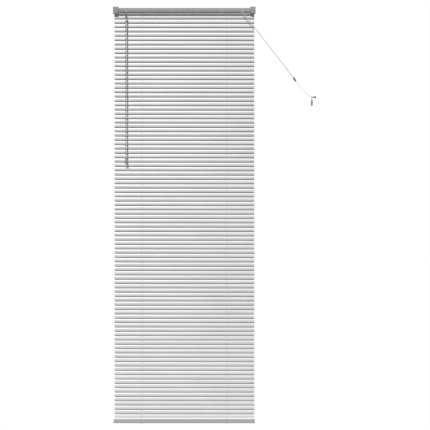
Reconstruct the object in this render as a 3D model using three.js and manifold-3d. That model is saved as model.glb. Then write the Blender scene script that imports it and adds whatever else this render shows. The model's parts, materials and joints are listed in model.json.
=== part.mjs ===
// Venetian blind with aluminium slats, box brackets, a wand tilter and a corded lift.
// Millimetres, +Z up, +X to the right of someone in the room, +Y towards the wall.
// The origin is on the wall plane, mid-width, level with the tops of the two brackets.
import * as THREE from "three";
import { mergeVertices } from "three/addons/utils/BufferGeometryUtils.js";
import Module from "manifold-3d";

const wasm = await Module();
wasm.setup();

// ---------- Driving dimensions ----------
const gap = 0.3; // left between pieces that touch or pass

// Slats
const slatCount = 93;
const slatLength = 700;
const slatWidth = 25;
const slatThickness = 0.4;
const slatCrown = 2.2; // rise of the arch across the width
const slatPitch = 21.7; // rung to rung on the ladder
const slatTilt = THREE.MathUtils.degToRad(70); // front edge down, closed
const slatFacets = 3;
const groupCount = 15; // slats are joined in groups by the front cords of the ladders
const curtainBehindMiddle = 1; // the slats turn in a plane just behind the middle of the rail
const railUnderSlats = 7.7; // from the last slat's lower edge to the bottom rail

// Ladders and lift cords
const ladderFromSlatEnd = 138;
const ladderCordWidth = 1.2;
const ladderCordDepth = 1.1;
const liftCordBesideLadder = 3.5;
const liftCordRadius = 0.7;

// Head rail
const railPastSlats = 0.5;
const railDepth = 25;
const railHeight = 26.6;
const railBackY = -3;
const railTopZ = -6.5;
const railSheet = 0.8;
const railLip = 4; // turned-in edges along the open top
const railGrooveDepth = 1.4;
const railGrooveAbove = 7.5; // height of the groove over the rail's floor
const endCapThickness = 1.5;

// Brackets
const bracketLength = 26;
const bracketFloorRoom = 0.5; // under the head rail
const bracketEndRoom = 2.5; // past the end cap
const bracketSheet = 1.2;
const gateRoom = 3; // from the rail's face to the gate's face
const gateChamfer = 7;
const knuckleRadius = 2;
const gatePinRadius = 0.9;
const screwShankRadius = 1.9;
const screwHeadRadius = 3.8;
const screwHeadHeight = 1.2;
const screwZ = { upper: -11, lower: -25 };

// Tilt train
const rodAboveRailFloor = 11.6;
const rodRadius = 2.9; // corner radius of the hexagon
const rodPastTilter = 12;
const rodPastLadder = 14;
const drumLength = 13.4;
const drumFlangeRadius = 6.2;
const drumHubRadius = 5;
const fittingFromSlatEnd = 60; // tilter at the left, cord lock at the right
const wheelRadius = 6;
const wheelWidth = 6;
const wheelTeeth = 12;
const wormRadius = 2;
const wormThreads = 4;
const wormThreadHalf = 4;
const wormShaftRadius = 1.5;
const wormLean = THREE.MathUtils.degToRad(38); // forward lean of the worm shaft
const snoutRadius = 3.2;
const eyeReach = 18.8; // worm centre to the middle of the eye
const eyeRadius = 3;
const eyeHoleRadius = 1.8; // wide for the link's wire, because the two turn about axes 38 degrees apart
const eyeThickness = 1;
const eyeShoulder = 2.4; // from the middle of the eye up to the round shaft
const fittingWall = 1.2; // plates of the fittings that stand in the head rail

// Tilt wand
const linkRadius = 3.5;
const linkWire = 0.5;
const hookWire = 0.6;
const wandRadius = 4.5; // corner radius of the hexagon
const wandLength = 724;
const ferruleLength = 16;
const ferruleRadius = 5.4;
const gripLength = 25;
const gripRadius = 5.8;

// Cord lock and pull cords
const lockInside = 16;
const lockRollerForward = 4.5; // from the rod's line towards the room
const lockRollerRadius = 3.2;
const lockPawlBack = 4;
const journalRadius = 1.2;
const pullCordRadius = 0.8;

// Bottom rail
const bottomRailHeight = 18.5;
const bottomRailDepth = 25;
const bottomRailWall = 1.2;
const bottomRailCorner = 3.5;
const bottomCapThickness = 2;
const buttonRadius = 6;
const buttonStemRadius = 2.6;

// Wall hook and tassel
const hookX = 655.5;
const hookZ = -451.5;
const hookBossRadius = 5;
const hookBossDepth = 3;
const hookRadius = 2.4;
const hookArmY = -16;
const hookTipX = 636;
const tasselX = 637.5;
const tasselY = -20;
const tasselTopZ = -458;
const tasselLength = 38;

// ---------- Values that follow ----------
const sides = { left: -1, right: 1 };
const railFrontY = railBackY - railDepth;
const railBottomZ = railTopZ - railHeight;
const curtainY = railBackY - railDepth / 2 + curtainBehindMiddle;
const bracketHeight = bracketFloorRoom + bracketSheet - railBottomZ;
const gateFrontY = railFrontY - gateRoom;
const ladderX = slatLength / 2 - ladderFromSlatEnd;
const liftCordX = ladderX + liftCordBesideLadder;
const lockX = slatLength / 2 - fittingFromSlatEnd;
const tilterX = -lockX;
const rodZ = railBottomZ + rodAboveRailFloor;
const rodStartX = tilterX - rodPastTilter;
const rodEndX = ladderX + rodPastLadder;
const lockRollerY = curtainY - lockRollerForward;
const lockRollerZ = rodZ + 1.5;
const lockPawlY = curtainY + lockPawlBack;
const lockPawlZ = rodZ + 2.5;
const railInnerFrontY = railFrontY + railSheet;
const railInnerBackY = railBackY - railSheet;
const railFloorZ = railBottomZ + railSheet;
const railHalf = slatLength / 2 + railPastSlats;
const bracketEndX = railHalf + gap + endCapThickness + bracketEndRoom + bracketSheet;
const bracketStartX = bracketEndX - bracketLength;
const knuckleY = gateFrontY + knuckleRadius;
const knuckleZ = -knuckleRadius - 0.7;
const bottomRailHalf = slatLength / 2;
const wormCentreDistance = wheelRadius + wormRadius + gap;
const wormY = curtainY - wormCentreDistance * Math.cos(wormLean);
const wormZ = rodZ + wormCentreDistance * Math.sin(wormLean);
const eyeY = wormY - eyeReach * Math.sin(wormLean);
const eyeZ = wormZ - eyeReach * Math.cos(wormLean);
const linkZ = eyeZ - linkRadius;
const ferruleTopZ = linkZ - linkRadius - 9;
const wandTopZ = ferruleTopZ - 3;

// ---------- Materials ----------
function finish(color, roughness, metalness) {
  return new THREE.MeshStandardMaterial({ color, roughness, metalness });
}
const silver = finish(0xdcdddd, 0.45, 0.6);
const railGrey = finish(0xb9bab9, 0.5, 0.4);
const plasticGrey = finish(0xa9abad, 0.6, 0);
const steel = finish(0xc4c6c8, 0.3, 1);
const nylon = finish(0xe9e9e6, 0.55, 0);
const cordWhite = finish(0xeeeeec, 0.9, 0);
const acrylic = finish(0xd8dee0, 0.1, 0);
const darkGrey = finish(0x4a4d50, 0.5, 0);

// ---------- Shape helpers ----------
const axisX = new THREE.Vector3(1, 0, 0);
const axisY = new THREE.Vector3(0, 1, 0);
const axisZ = new THREE.Vector3(0, 0, 1);

function shapeOf(outline, holes = []) {
  const points = (list) => list.map(([a, b]) => new THREE.Vector2(a, b));
  const shape = new THREE.Shape(points(outline));
  holes.forEach((hole) => shape.holes.push(new THREE.Path(points(hole))));
  return shape;
}

function extrude(outline, depth, holes) {
  return new THREE.ExtrudeGeometry(shapeOf(outline, holes), { depth, bevelEnabled: false });
}

// A (y, z) outline drawn out along X.
function alongX(outline, x0, x1, holes) {
  const turn = new THREE.Matrix4().makeBasis(axisY, axisZ, axisX);
  return extrude(outline, x1 - x0, holes).applyMatrix4(turn).translate(x0, 0, 0);
}

// An (x, z) outline drawn out along Y.
function alongY(outline, y0, y1, holes) {
  const turn = new THREE.Matrix4().makeBasis(axisX, axisZ, axisY.clone().negate());
  return extrude(outline, y1 - y0, holes).applyMatrix4(turn).translate(0, y1, 0);
}

function block(x0, x1, y0, y1, z0, z1) {
  return new THREE.BoxGeometry(x1 - x0, y1 - y0, z1 - z0).translate(
    (x0 + x1) / 2,
    (y0 + y1) / 2,
    (z0 + z1) / 2,
  );
}

function barX(radius, x0, x1, y, z, segments) {
  return new THREE.CylinderGeometry(radius, radius, x1 - x0, segments)
    .rotateZ(Math.PI / 2)
    .translate((x0 + x1) / 2, y, z);
}

function barY(radius, y0, y1, x, z, segments) {
  return new THREE.CylinderGeometry(radius, radius, y1 - y0, segments).translate(x, (y0 + y1) / 2, z);
}

// A (radius, height) profile turned about Z.
function turned(profile, segments) {
  const points = profile.map(([r, h]) => new THREE.Vector2(r, h));
  return new THREE.LatheGeometry(points, segments).rotateX(Math.PI / 2);
}

function roundOutline(radius, segments, a = 0, b = 0) {
  return Array.from({ length: segments }, (_, i) => {
    const angle = (2 * Math.PI * i) / segments;
    return [a + radius * Math.cos(angle), b + radius * Math.sin(angle)];
  });
}

function tube(points, radius, steps, segments = 8) {
  const curve = new THREE.CatmullRomCurve3(points.map((p) => new THREE.Vector3(...p)));
  return new THREE.ExtrudeGeometry(shapeOf(roundOutline(radius, segments)), {
    steps,
    bevelEnabled: false,
    extrudePath: curve,
  });
}

// The closed outline of a bent sheet of even thickness, from the line through its middle.
function sheetOutline(line, thickness) {
  const points = line.map(([a, b]) => new THREE.Vector2(a, b));
  const normal = (i) => {
    const d = points[i + 1].clone().sub(points[i]).normalize();
    return new THREE.Vector2(-d.y, d.x);
  };
  const offset = points.map((_, i) => {
    const before = normal(Math.max(i - 1, 0));
    const after = normal(Math.min(i, points.length - 2));
    return before.clone().add(after).multiplyScalar(thickness / 2 / (1 + before.dot(after)));
  });
  const side = (sign) => points.map((p, i) => [p.x + sign * offset[i].x, p.y + sign * offset[i].y]);
  return [...side(-1), ...side(1).reverse()];
}

function roundedRectangle(a0, a1, b0, b1, radius, steps) {
  const corners = [
    [a1 - radius, b1 - radius, 0],
    [a0 + radius, b1 - radius, 1],
    [a0 + radius, b0 + radius, 2],
    [a1 - radius, b0 + radius, 3],
  ];
  return corners.flatMap(([a, b, quarter]) =>
    Array.from({ length: steps + 1 }, (_, i) => {
      const angle = (quarter + i / steps) * (Math.PI / 2);
      return [a + radius * Math.cos(angle), b + radius * Math.sin(angle)];
    }),
  );
}

// ---------- Joining and cutting ----------
function solidOf(geometry) {
  const bare = geometry.clone();
  bare.deleteAttribute("normal");
  bare.deleteAttribute("uv");
  const merged = mergeVertices(bare, 1e-4);
  return new wasm.Manifold(
    new wasm.Mesh({
      numProp: 3,
      vertProperties: new Float32Array(merged.attributes.position.array),
      triVerts: new Uint32Array(merged.index.array),
    }),
  );
}

function geometryOf(solid) {
  const mesh = solid.getMesh();
  const geometry = new THREE.BufferGeometry()
    .setAttribute("position", new THREE.BufferAttribute(mesh.vertProperties, 3))
    .setIndex(new THREE.BufferAttribute(mesh.triVerts, 1));
  geometry.computeVertexNormals();
  return geometry;
}

function join(...geometries) {
  const joined = geometries.map(solidOf).reduce((all, next) => all.add(next));
  return geometryOf(joined);
}

function cut(geometry, ...tools) {
  const rest = tools.map(solidOf).reduce((all, next) => all.subtract(next), solidOf(geometry));
  return geometryOf(rest);
}

const blind = new THREE.Group();

function place(name, geometry, material, parent = blind) {
  const mesh = new THREE.Mesh(geometry, material.clone());
  mesh.name = name;
  parent.add(mesh);
  return mesh;
}

// A group for one end of the blind: the left one is the mirror image of the right one.
function endGroup(side) {
  const group = new THREE.Group();
  group.scale.x = sides[side];
  blind.add(group);
  return group;
}

// ---------- Slats ----------
// Arched cross-section of one slat, turned to its tilt, with its middle at height z.
function slatOutline(z) {
  const across = Array.from({ length: slatFacets + 1 }, (_, i) => slatWidth * (i / slatFacets - 0.5));
  const turnedPoint = (u, v) => [
    curtainY - u * Math.cos(slatTilt) - v * Math.sin(slatTilt),
    z - u * Math.sin(slatTilt) + v * Math.cos(slatTilt),
  ];
  const arch = (u) => slatCrown * (0.5 - (2 * u / slatWidth) ** 2);
  const crownFace = across.map((u) => turnedPoint(u, arch(u) + slatThickness / 2));
  const hollowFace = across.map((u) => turnedPoint(u, arch(u) - slatThickness / 2));
  return [...crownFace, ...hollowFace.reverse()];
}

const slatEdgeDrop = (slatWidth / 2) * Math.sin(slatTilt) + (slatCrown / 2) * Math.cos(slatTilt);
const slatEdgeRise = slatEdgeDrop - (slatCrown - slatThickness / 2) * Math.cos(slatTilt);
const firstSlatZ = -bracketHeight - gap - slatEdgeRise;
const bottomRailTopZ = firstSlatZ - (slatCount - 1) * slatPitch - slatEdgeDrop - railUnderSlats;
const slatFrontY = curtainY - (slatWidth / 2) * Math.cos(slatTilt) + (slatCrown / 2) * Math.sin(slatTilt);
const slatBackY = curtainY + (slatWidth / 2) * Math.cos(slatTilt) + (slatCrown / 2) * Math.sin(slatTilt);
const liftCordY = slatBackY + slatThickness / 2 + gap + liftCordRadius;
const cordTopZ = railBottomZ - 4 * gap;

function slatZ(index) {
  return firstSlatZ - index * slatPitch;
}

// One group: its slats, and the two front ladder cords that their lower edges sit on.
function slatGroup(first, last) {
  const slats = [];
  for (let i = first; i <= last; i += 1) {
    slats.push(alongX(slatOutline(slatZ(i)), -slatLength / 2, slatLength / 2));
  }
  const top = first === 0 ? cordTopZ : slatZ(first - 1) - slatEdgeDrop - 3 * gap;
  const bottom = last === slatCount - 1 ? bottomRailTopZ + gap : slatZ(last) - slatEdgeDrop - 2 * gap;
  const cordY = slatFrontY - ladderCordDepth / 2 + gap;
  const cords = Object.values(sides).map((sign) =>
    block(
      sign * ladderX - ladderCordWidth / 2,
      sign * ladderX + ladderCordWidth / 2,
      cordY - ladderCordDepth / 2,
      cordY + ladderCordDepth / 2,
      bottom,
      top,
    ),
  );
  return join(...slats, ...cords);
}

function addSlatGroups() {
  for (let g = 0; g < groupCount; g += 1) {
    const first = Math.round((g * slatCount) / groupCount);
    const last = Math.round(((g + 1) * slatCount) / groupCount) - 1;
    const number = String(g + 1).padStart(2, "0");
    place(`slat_group_${number}`, slatGroup(first, last), silver);
  }
}

// ---------- Ladder back cords and lift cords ----------
function addHangingCords() {
  const backY = slatBackY + slatThickness / 2 + gap + ladderCordDepth / 2;
  const bottom = bottomRailTopZ + gap;
  for (const side of Object.keys(sides)) {
    const group = endGroup(side);
    const half = ladderCordWidth / 2;
    const depth = ladderCordDepth / 2;
    const ladder = block(ladderX - half, ladderX + half, backY - depth, backY + depth, bottom, cordTopZ);
    place(`ladder_cord_back_${side}`, ladder, cordWhite, group);
    const liftProfile = [[0, bottom], [liftCordRadius, bottom], [liftCordRadius, cordTopZ], [0, cordTopZ]];
    const lift = turned(liftProfile, 8).translate(liftCordX, liftCordY, 0);
    place(`lift_cord_${side}`, lift, cordWhite, group);
  }
}

// ---------- Head rail ----------
const floorSlot = {
  x0: ladderX - liftCordBesideLadder,
  x1: liftCordX + 3,
  y0: slatFrontY - 3.8,
  y1: liftCordY + 2.8,
};
const lockNose = {
  x0: lockX - 6.7,
  x1: lockX + 6.7,
  z0: railBottomZ + 3.6,
  z1: railBottomZ + railGrooveAbove + 4.5,
};

function channelLine() {
  const half = railSheet / 2;
  const front = railFrontY + half;
  const back = railBackY - half;
  const top = railTopZ - half;
  const floor = railBottomZ + half;
  const groove = railBottomZ + railGrooveAbove;
  return [
    [back - railLip, top],
    [back, top],
    [back, floor],
    [front + 2, floor],
    [front, floor + 2],
    [front, groove - 1.6],
    [front + railGrooveDepth, groove - 0.6],
    [front + railGrooveDepth, groove + 0.6],
    [front, groove + 1.6],
    [front, top],
    [front + railLip, top],
  ];
}

// A tool along the worm shaft, from the worm's middle: the shaft leaves through the front of the rail.
function alongWorm(radius, from, to, segments) {
  return turned([[0, -to], [radius, -to], [radius, -from], [0, -from]], segments)
    .rotateX(-wormLean)
    .translate(tilterX, wormY, wormZ);
}

function headrailChannel() {
  const channel = alongX(sheetOutline(channelLine(), railSheet), -railHalf, railHalf);
  const slots = Object.values(sides).map((sign) => {
    const ends = [sign * floorSlot.x0, sign * floorSlot.x1].sort((a, b) => a - b);
    return block(...ends, floorSlot.y0, floorSlot.y1, railBottomZ - 1, railFloorZ + 1);
  });
  const lockWindow = block(
    lockNose.x0 - gap,
    lockNose.x1 + gap,
    railFrontY - 1,
    railInnerFrontY + railGrooveDepth + 1,
    lockNose.z0 - gap,
    lockNose.z1 + gap,
  );
  const shaftHole = alongWorm(snoutRadius + gap, 5, 20, 12);
  return cut(channel, ...slots, lockWindow, shaftHole);
}

function headrailEndCap() {
  const plate = roundedRectangle(railFrontY, railBackY, railBottomZ, railTopZ, 2, 2);
  const start = railHalf + gap;
  const spigot = block(
    railHalf - 8,
    start + gap,
    railInnerFrontY + railGrooveDepth + gap,
    railInnerBackY - gap,
    railFloorZ + gap,
    railTopZ - 6,
  );
  return join(alongX(plate, start, start + endCapThickness), spigot);
}

function addHeadrail() {
  place("headrail_channel", headrailChannel(), railGrey);
  for (const side of Object.keys(sides)) {
    place(`headrail_end_cap_${side}`, headrailEndCap(), plasticGrey, endGroup(side));
  }
}

// ---------- Box brackets ----------
const knuckleSpan = {
  inner: [bracketStartX + 0.5, bracketStartX + 6.4],
  outer: [bracketEndX - 7.4, bracketEndX - bracketSheet],
};
const screwX = (bracketStartX + bracketEndX) / 2;

function bracket() {
  const half = bracketSheet / 2;
  const shell = sheetOutline(
    [
      [gateFrontY + 3.5, -bracketHeight + half],
      [-half, -bracketHeight + half],
      [-half, -half],
      [gateFrontY + 4.6, -half],
    ],
    bracketSheet,
  );
  const pieces = [
    alongX(shell, bracketStartX, bracketEndX - half),
    block(bracketEndX - bracketSheet, bracketEndX, gateFrontY + 1.6, 0, -bracketHeight, 0),
  ];
  for (const [x0, x1] of Object.values(knuckleSpan)) {
    pieces.push(barX(knuckleRadius, x0, x1, knuckleY, knuckleZ, 12));
    pieces.push(block(x0, x1, knuckleY, gateFrontY + 4.8, -bracketSheet - 0.7, -0.8));
  }
  const bore = barX(
    gatePinRadius + gap,
    bracketStartX - 1,
    bracketEndX - bracketSheet / 2,
    knuckleY,
    knuckleZ,
    8,
  );
  const holes = Object.values(screwZ).map((z) =>
    barY(screwShankRadius + 2 * gap, -bracketSheet - 1, 1, screwX, z, 12),
  );
  return cut(join(...pieces), bore, ...holes);
}

function bracketGate() {
  const plateBack = gateFrontY + bracketSheet;
  const plateTop = knuckleZ - knuckleRadius - 0.2;
  const span = [knuckleSpan.inner[1] + gap, knuckleSpan.outer[0] - gap];
  const plate = alongY(
    [
      [bracketStartX, plateTop],
      [bracketStartX, -bracketHeight + gateChamfer],
      [bracketStartX + gateChamfer, -bracketHeight],
      [bracketEndX, -bracketHeight],
      [bracketEndX, plateTop],
    ],
    gateFrontY,
    plateBack,
  );
  const knuckle = barX(knuckleRadius, ...span, knuckleY, knuckleZ, 12);
  const web = block(...span, gateFrontY + 0.1, plateBack - 0.1, plateTop - 1, knuckleZ);
  const bore = barX(gatePinRadius + gap, span[0] - 1, span[1] + 1, knuckleY, knuckleZ, 8);
  return cut(join(plate, knuckle, web), bore);
}

function screw(z) {
  const headBack = -bracketSheet - gap;
  const shank = barY(screwShankRadius, headBack - 0.2, -0.1, screwX, z, 10);
  const head = barY(screwHeadRadius, headBack - screwHeadHeight, headBack, screwX, z, 12);
  return join(shank, head);
}

function addBrackets() {
  for (const side of Object.keys(sides)) {
    const group = endGroup(side);
    place(`bracket_${side}`, bracket(), railGrey, group);
    place(`bracket_gate_${side}`, bracketGate(), railGrey, group);
    const pin = barX(
      gatePinRadius,
      bracketStartX + 0.6,
      bracketEndX - bracketSheet / 2 - gap,
      knuckleY,
      knuckleZ,
      8,
    );
    place(`gate_pin_${side}`, pin, steel, group);
    for (const [level, z] of Object.entries(screwZ)) {
      place(`bracket_screw_${side}_${level}`, screw(z), steel, group);
    }
  }
}

// ---------- Tilt train ----------
// A plastic fitting that stands on the rail's floor: a base and two side plates.
function fittingFrame(x0, x1, topZ) {
  const baseZ = railFloorZ + gap;
  const y0 = railInnerFrontY + railGrooveDepth + gap;
  const y1 = railInnerBackY - 0.7;
  return [
    block(x0, x1, y0, y1, baseZ, baseZ + fittingWall),
    block(x0, x0 + fittingWall, y0, y1, baseZ, topZ),
    block(x1 - fittingWall, x1, y0, y1, baseZ, topZ),
  ];
}

function rodHole(x0, x1) {
  return barX(rodRadius + 2 * gap, x0 - 1, x1 + 1, curtainY, rodZ, 12);
}

function cradle() {
  const x0 = ladderX + 1.5 - drumLength / 2 - gap - fittingWall;
  const x1 = ladderX + 1.5 + drumLength / 2 + gap + fittingWall;
  const inset = gap + 0.1;
  const snout = block(
    floorSlot.x0 + inset,
    floorSlot.x1 - inset,
    floorSlot.y0 + inset,
    floorSlot.y1 - inset,
    railBottomZ + 0.1,
    railFloorZ + gap + fittingWall,
  );
  const wall = inset + 1.1;
  const mouth = block(
    floorSlot.x0 + wall,
    floorSlot.x1 - wall,
    floorSlot.y0 + wall,
    floorSlot.y1 - wall,
    railBottomZ - 1,
    railFloorZ + 4,
  );
  return cut(join(...fittingFrame(x0, x1, rodZ + 8), snout), mouth, rodHole(x0, x1));
}

function drum() {
  const half = drumLength / 2;
  const flange = 1.4;
  const spool = turned(
    [
      [0, -half],
      [drumFlangeRadius, -half],
      [drumFlangeRadius, -half + flange],
      [drumHubRadius, -half + 2 * flange],
      [drumHubRadius, half - 2 * flange],
      [drumFlangeRadius, half - flange],
      [drumFlangeRadius, half],
      [0, half],
    ],
    14,
  ).rotateY(Math.PI / 2).translate(ladderX + 1.5, curtainY, rodZ);
  return cut(spool, barX(rodRadius + gap, ladderX - 20, ladderX + 20, curtainY, rodZ, 6));
}

function wormWheel() {
  const outline = [];
  for (let tooth = 0; tooth < wheelTeeth; tooth += 1) {
    const step = (2 * Math.PI) / wheelTeeth;
    const corners = [[-0.3, 1.1], [-0.16, 0], [0.16, 0], [0.3, 1.1]];
    for (const [share, depth] of corners) {
      const angle = (tooth + share) * step;
      const r = wheelRadius - depth;
      outline.push([curtainY + r * Math.cos(angle), rodZ + r * Math.sin(angle)]);
    }
  }
  const wheel = alongX(outline, tilterX - wheelWidth / 2, tilterX + wheelWidth / 2);
  return cut(wheel, barX(rodRadius + gap, tilterX - 20, tilterX + 20, curtainY, rodZ, 6));
}

// Worm, shaft and eye, made upright with the worm's middle at the origin and then leaned forward.
function wormShaft() {
  const shaftEnd = -eyeReach + eyeShoulder;
  const profile = [[0, shaftEnd], [wormShaftRadius, shaftEnd]];
  const pitch = (2 * wormThreadHalf) / wormThreads;
  for (let i = 0; i < wormThreads; i += 1) {
    const z = -wormThreadHalf + i * pitch;
    profile.push([wormShaftRadius, z], [wormRadius, z + 0.35 * pitch], [wormRadius, z + 0.65 * pitch]);
  }
  profile.push([wormShaftRadius, wormThreadHalf], [wormShaftRadius, wormThreadHalf + 1.5]);
  profile.push([0, wormThreadHalf + 1.5]);
  const eye = alongX(
    roundOutline(eyeRadius, 14, 0, -eyeReach),
    -eyeThickness / 2,
    eyeThickness / 2,
    [roundOutline(eyeHoleRadius, 16, 0, -eyeReach)],
  );
  return join(turned(profile, 8), eye).rotateX(-wormLean).translate(tilterX, wormY, wormZ);
}

function tilterHousing() {
  const half = wheelWidth / 2 + 2 + fittingWall;
  const x0 = tilterX - half;
  const x1 = tilterX + half;
  const plateFar = wormThreadHalf + 2.6;
  const plateNear = plateFar - 1.4;
  const plateFrontRoom = wormY - plateFar * Math.sin(wormLean) - railInnerFrontY - gap;
  const crossPlate = block(x0 + 0.2, x1 - 0.2, -plateFrontRoom / Math.cos(wormLean), 4, -plateFar, -plateNear)
    .rotateX(-wormLean)
    .translate(0, wormY, wormZ);
  const snout = alongWorm(snoutRadius, 5, 12.6, 12);
  const bore = alongWorm(wormShaftRadius + 2 * gap, 3, 20, 10);
  return cut(join(...fittingFrame(x0, x1, rodZ + 8), crossPlate, snout), bore, rodHole(x0, x1));
}

function addTiltTrain() {
  place("tilt_rod", barX(rodRadius, rodStartX, rodEndX, curtainY, rodZ, 6), steel);
  place("worm_wheel", wormWheel(), nylon);
  place("worm_shaft", wormShaft(), nylon);
  place("tilter_housing", tilterHousing(), nylon);
  for (const side of Object.keys(sides)) {
    const group = endGroup(side);
    place(`cradle_${side}`, cradle(), nylon, group);
    place(`drum_${side}`, drum(), nylon, group);
  }
}

// ---------- Tilt wand ----------
function addWand() {
  const wand = new THREE.Group();
  wand.position.set(tilterX, eyeY, 0);
  blind.add(wand);

  const link = new THREE.TorusGeometry(linkRadius, linkWire, 6, 14).rotateX(Math.PI / 2);
  place("wand_link", link.translate(0, 0, linkZ), steel, wand);

  const pinZ = linkZ - linkRadius;
  const hook = tube(
    [
      [0, -2.2, pinZ - 1.4],
      [0, -1.9, pinZ + 0.7],
      [0, 0, pinZ + 2],
      [0, 1.9, pinZ + 0.7],
      [0, 2.1, pinZ - 1.8],
      [0, 0.9, pinZ - 4.4],
      [0, 0, pinZ - 6.6],
      [0, 0, ferruleTopZ - 1.8],
    ],
    hookWire,
    16,
    6,
  );
  place("wand_hook", hook, steel, wand);

  const ferruleBottom = ferruleTopZ - ferruleLength;
  const bore = wandRadius + gap;
  const ferrule = turned(
    [
      [bore, ferruleBottom],
      [ferruleRadius, ferruleBottom],
      [ferruleRadius, ferruleTopZ - 2.5],
      [ferruleRadius - 2, ferruleTopZ],
      [hookWire + gap, ferruleTopZ],
      [hookWire + gap, ferruleTopZ - 2.4],
      [bore, ferruleTopZ - 2.4],
      [bore, ferruleBottom],
    ],
    12,
  );
  place("wand_ferrule", ferrule, acrylic, wand);

  const wandBottom = wandTopZ - wandLength;
  const rod = turned([[0, wandBottom], [wandRadius, wandBottom], [wandRadius, wandTopZ], [0, wandTopZ]], 6);
  place("wand_rod", rod, acrylic, wand);

  const gripBottom = wandBottom - 12;
  const gripTop = gripBottom + gripLength;
  const grip = turned(
    [
      [0, gripBottom],
      [gripRadius - 2.4, gripBottom],
      [gripRadius, gripBottom + 3],
      [gripRadius, gripTop - 6],
      [bore + 0.4, gripTop],
      [bore, gripTop],
      [bore, wandBottom - gap],
      [0, wandBottom - gap],
    ],
    12,
  );
  place("wand_grip", grip, acrylic, wand);
}

// ---------- Cord lock ----------
function cordLockBody() {
  const half = lockInside / 2 + fittingWall;
  const x0 = lockX - half;
  const x1 = lockX + half;
  const plateBack = railInnerFrontY + railGrooveDepth + gap + fittingWall;
  const nose = block(lockNose.x0, lockNose.x1, railFrontY - 1.2, plateBack, lockNose.z0, lockNose.z1);
  const face = block(x0, x1, plateBack - fittingWall, plateBack, railFloorZ + gap, rodZ + 4);
  const mouth = block(
    lockNose.x0 + 2,
    lockNose.x1 - 2,
    railFrontY - 2,
    plateBack + 1,
    lockNose.z0 + 1.8,
    lockNose.z1 - 1.8,
  );
  const journals = [
    [lockRollerY, lockRollerZ],
    [lockPawlY, lockPawlZ],
  ].map(([y, z]) => barX(journalRadius + gap, x0 - 1, x1 + 1, y, z, 8));
  return cut(join(...fittingFrame(x0, x1, rodZ + 8), face, nose), mouth, ...journals);
}

function lockRoller() {
  const half = lockInside / 2 - gap;
  const end = lockInside / 2 + fittingWall;
  const roller = turned(
    [
      [0, -end],
      [journalRadius, -end],
      [journalRadius, -half],
      [lockRollerRadius, -half],
      [lockRollerRadius - 0.8, -half + 2.5],
      [lockRollerRadius - 0.8, half - 2.5],
      [lockRollerRadius, half],
      [journalRadius, half],
      [journalRadius, end],
      [0, end],
    ],
    12,
  );
  return roller.rotateY(Math.PI / 2).translate(lockX, lockRollerY, lockRollerZ);
}

function lockPawl() {
  const half = lockInside / 2 - gap;
  const end = lockInside / 2 + fittingWall;
  const cam = alongX(
    [
      [lockPawlY + 2.4, lockPawlZ - 1.6],
      [lockPawlY + 2.4, lockPawlZ + 2],
      [lockPawlY, lockPawlZ + 2.6],
      [lockPawlY - 3, lockPawlZ + 1.4],
      [lockPawlY - 4.6, lockPawlZ - 1],
      [lockPawlY - 4, lockPawlZ - 3.4],
      [lockPawlY - 1.4, lockPawlZ - 2.6],
    ],
    lockX - half,
    lockX + half,
  );
  const journal = barX(journalRadius, lockX - end, lockX + end, lockPawlY, lockPawlZ, 8);
  return join(cam, journal);
}

function addCordLock() {
  place("cord_lock_body", cordLockBody(), nylon);
  place("cord_lock_roller", lockRoller(), nylon);
  place("cord_lock_pawl", lockPawl(), nylon);
}

// ---------- Pull cords ----------
// Two strands leave the cord lock's nose and run taut to the connector.
const strandRoute = [
  [290, -29.9, -25.4],
  [290.9, -31.2, -26.6],
  [294.5, -32.2, -31.4],
  [302.5, -32.4, -41.8],
  [316, -32.2, -59.3],
  [333, -31.8, -81.4],
  [352, -31.3, -106],
  [372, -30.8, -131.8],
  [393, -30.2, -158.9],
  [415, -29.6, -187.2],
  [438, -28.9, -216.8],
  [461, -28.2, -246.4],
  [484, -27.4, -275.9],
  [507, -26.5, -305.4],
  [529, -25.5, -333.5],
  [544.6, -24.7, -353.4],
];
const strandSpread = [0.79, 0, 0.61]; // across the strands, in the plane of the curtain
const connectorTop = new THREE.Vector3(545.1, -24.6, -354.3);
const connectorBottom = new THREE.Vector3(557.2, -24, -373.4);
const connectorRadius = 4.2;
const connectorShellShare = 0.58;

// The single tail runs on to the wall hook, over its arm and down to the tassel.
const tailRoute = [
  [557.35, -24, -373.65],
  [560.5, -23.8, -378.3],
  [566, -23.2, -385.7],
  [574, -22, -395.6],
  [583.5, -20.6, -406.4],
  [593.5, -19, -416.7],
  [603.5, -17.4, -425.8],
  [613, -15.8, -433.4],
  [621.5, -14.3, -439.4],
  [628.5, -13.2, -443.8],
  [633.6, -13.3, -446.5],
  [636.7, -14.9, -447.5],
  [637.8, -17, -447.9],
  [638, -18.9, -449.2],
  [637.8, -19.9, -451.6],
  [637.6, -20, -454.6],
  [637.5, -20, -457.7],
];

function strand(sign) {
  const lastIndex = strandRoute.length - 1;
  const points = strandRoute.map((point, i) => {
    const spread = sign * THREE.MathUtils.lerp(1.4, 1.1, i / lastIndex);
    return point.map((value, axis) => value + spread * strandSpread[axis]);
  });
  return tube(points, pullCordRadius, 15);
}

// Profile along the connector, turned and laid from its top to its bottom.
function onConnector(profile) {
  const direction = connectorTop.clone().sub(connectorBottom).normalize();
  const turn = new THREE.Quaternion().setFromUnitVectors(axisZ, direction);
  return turned(profile, 12).applyQuaternion(turn).translate(...connectorBottom.toArray());
}

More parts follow.
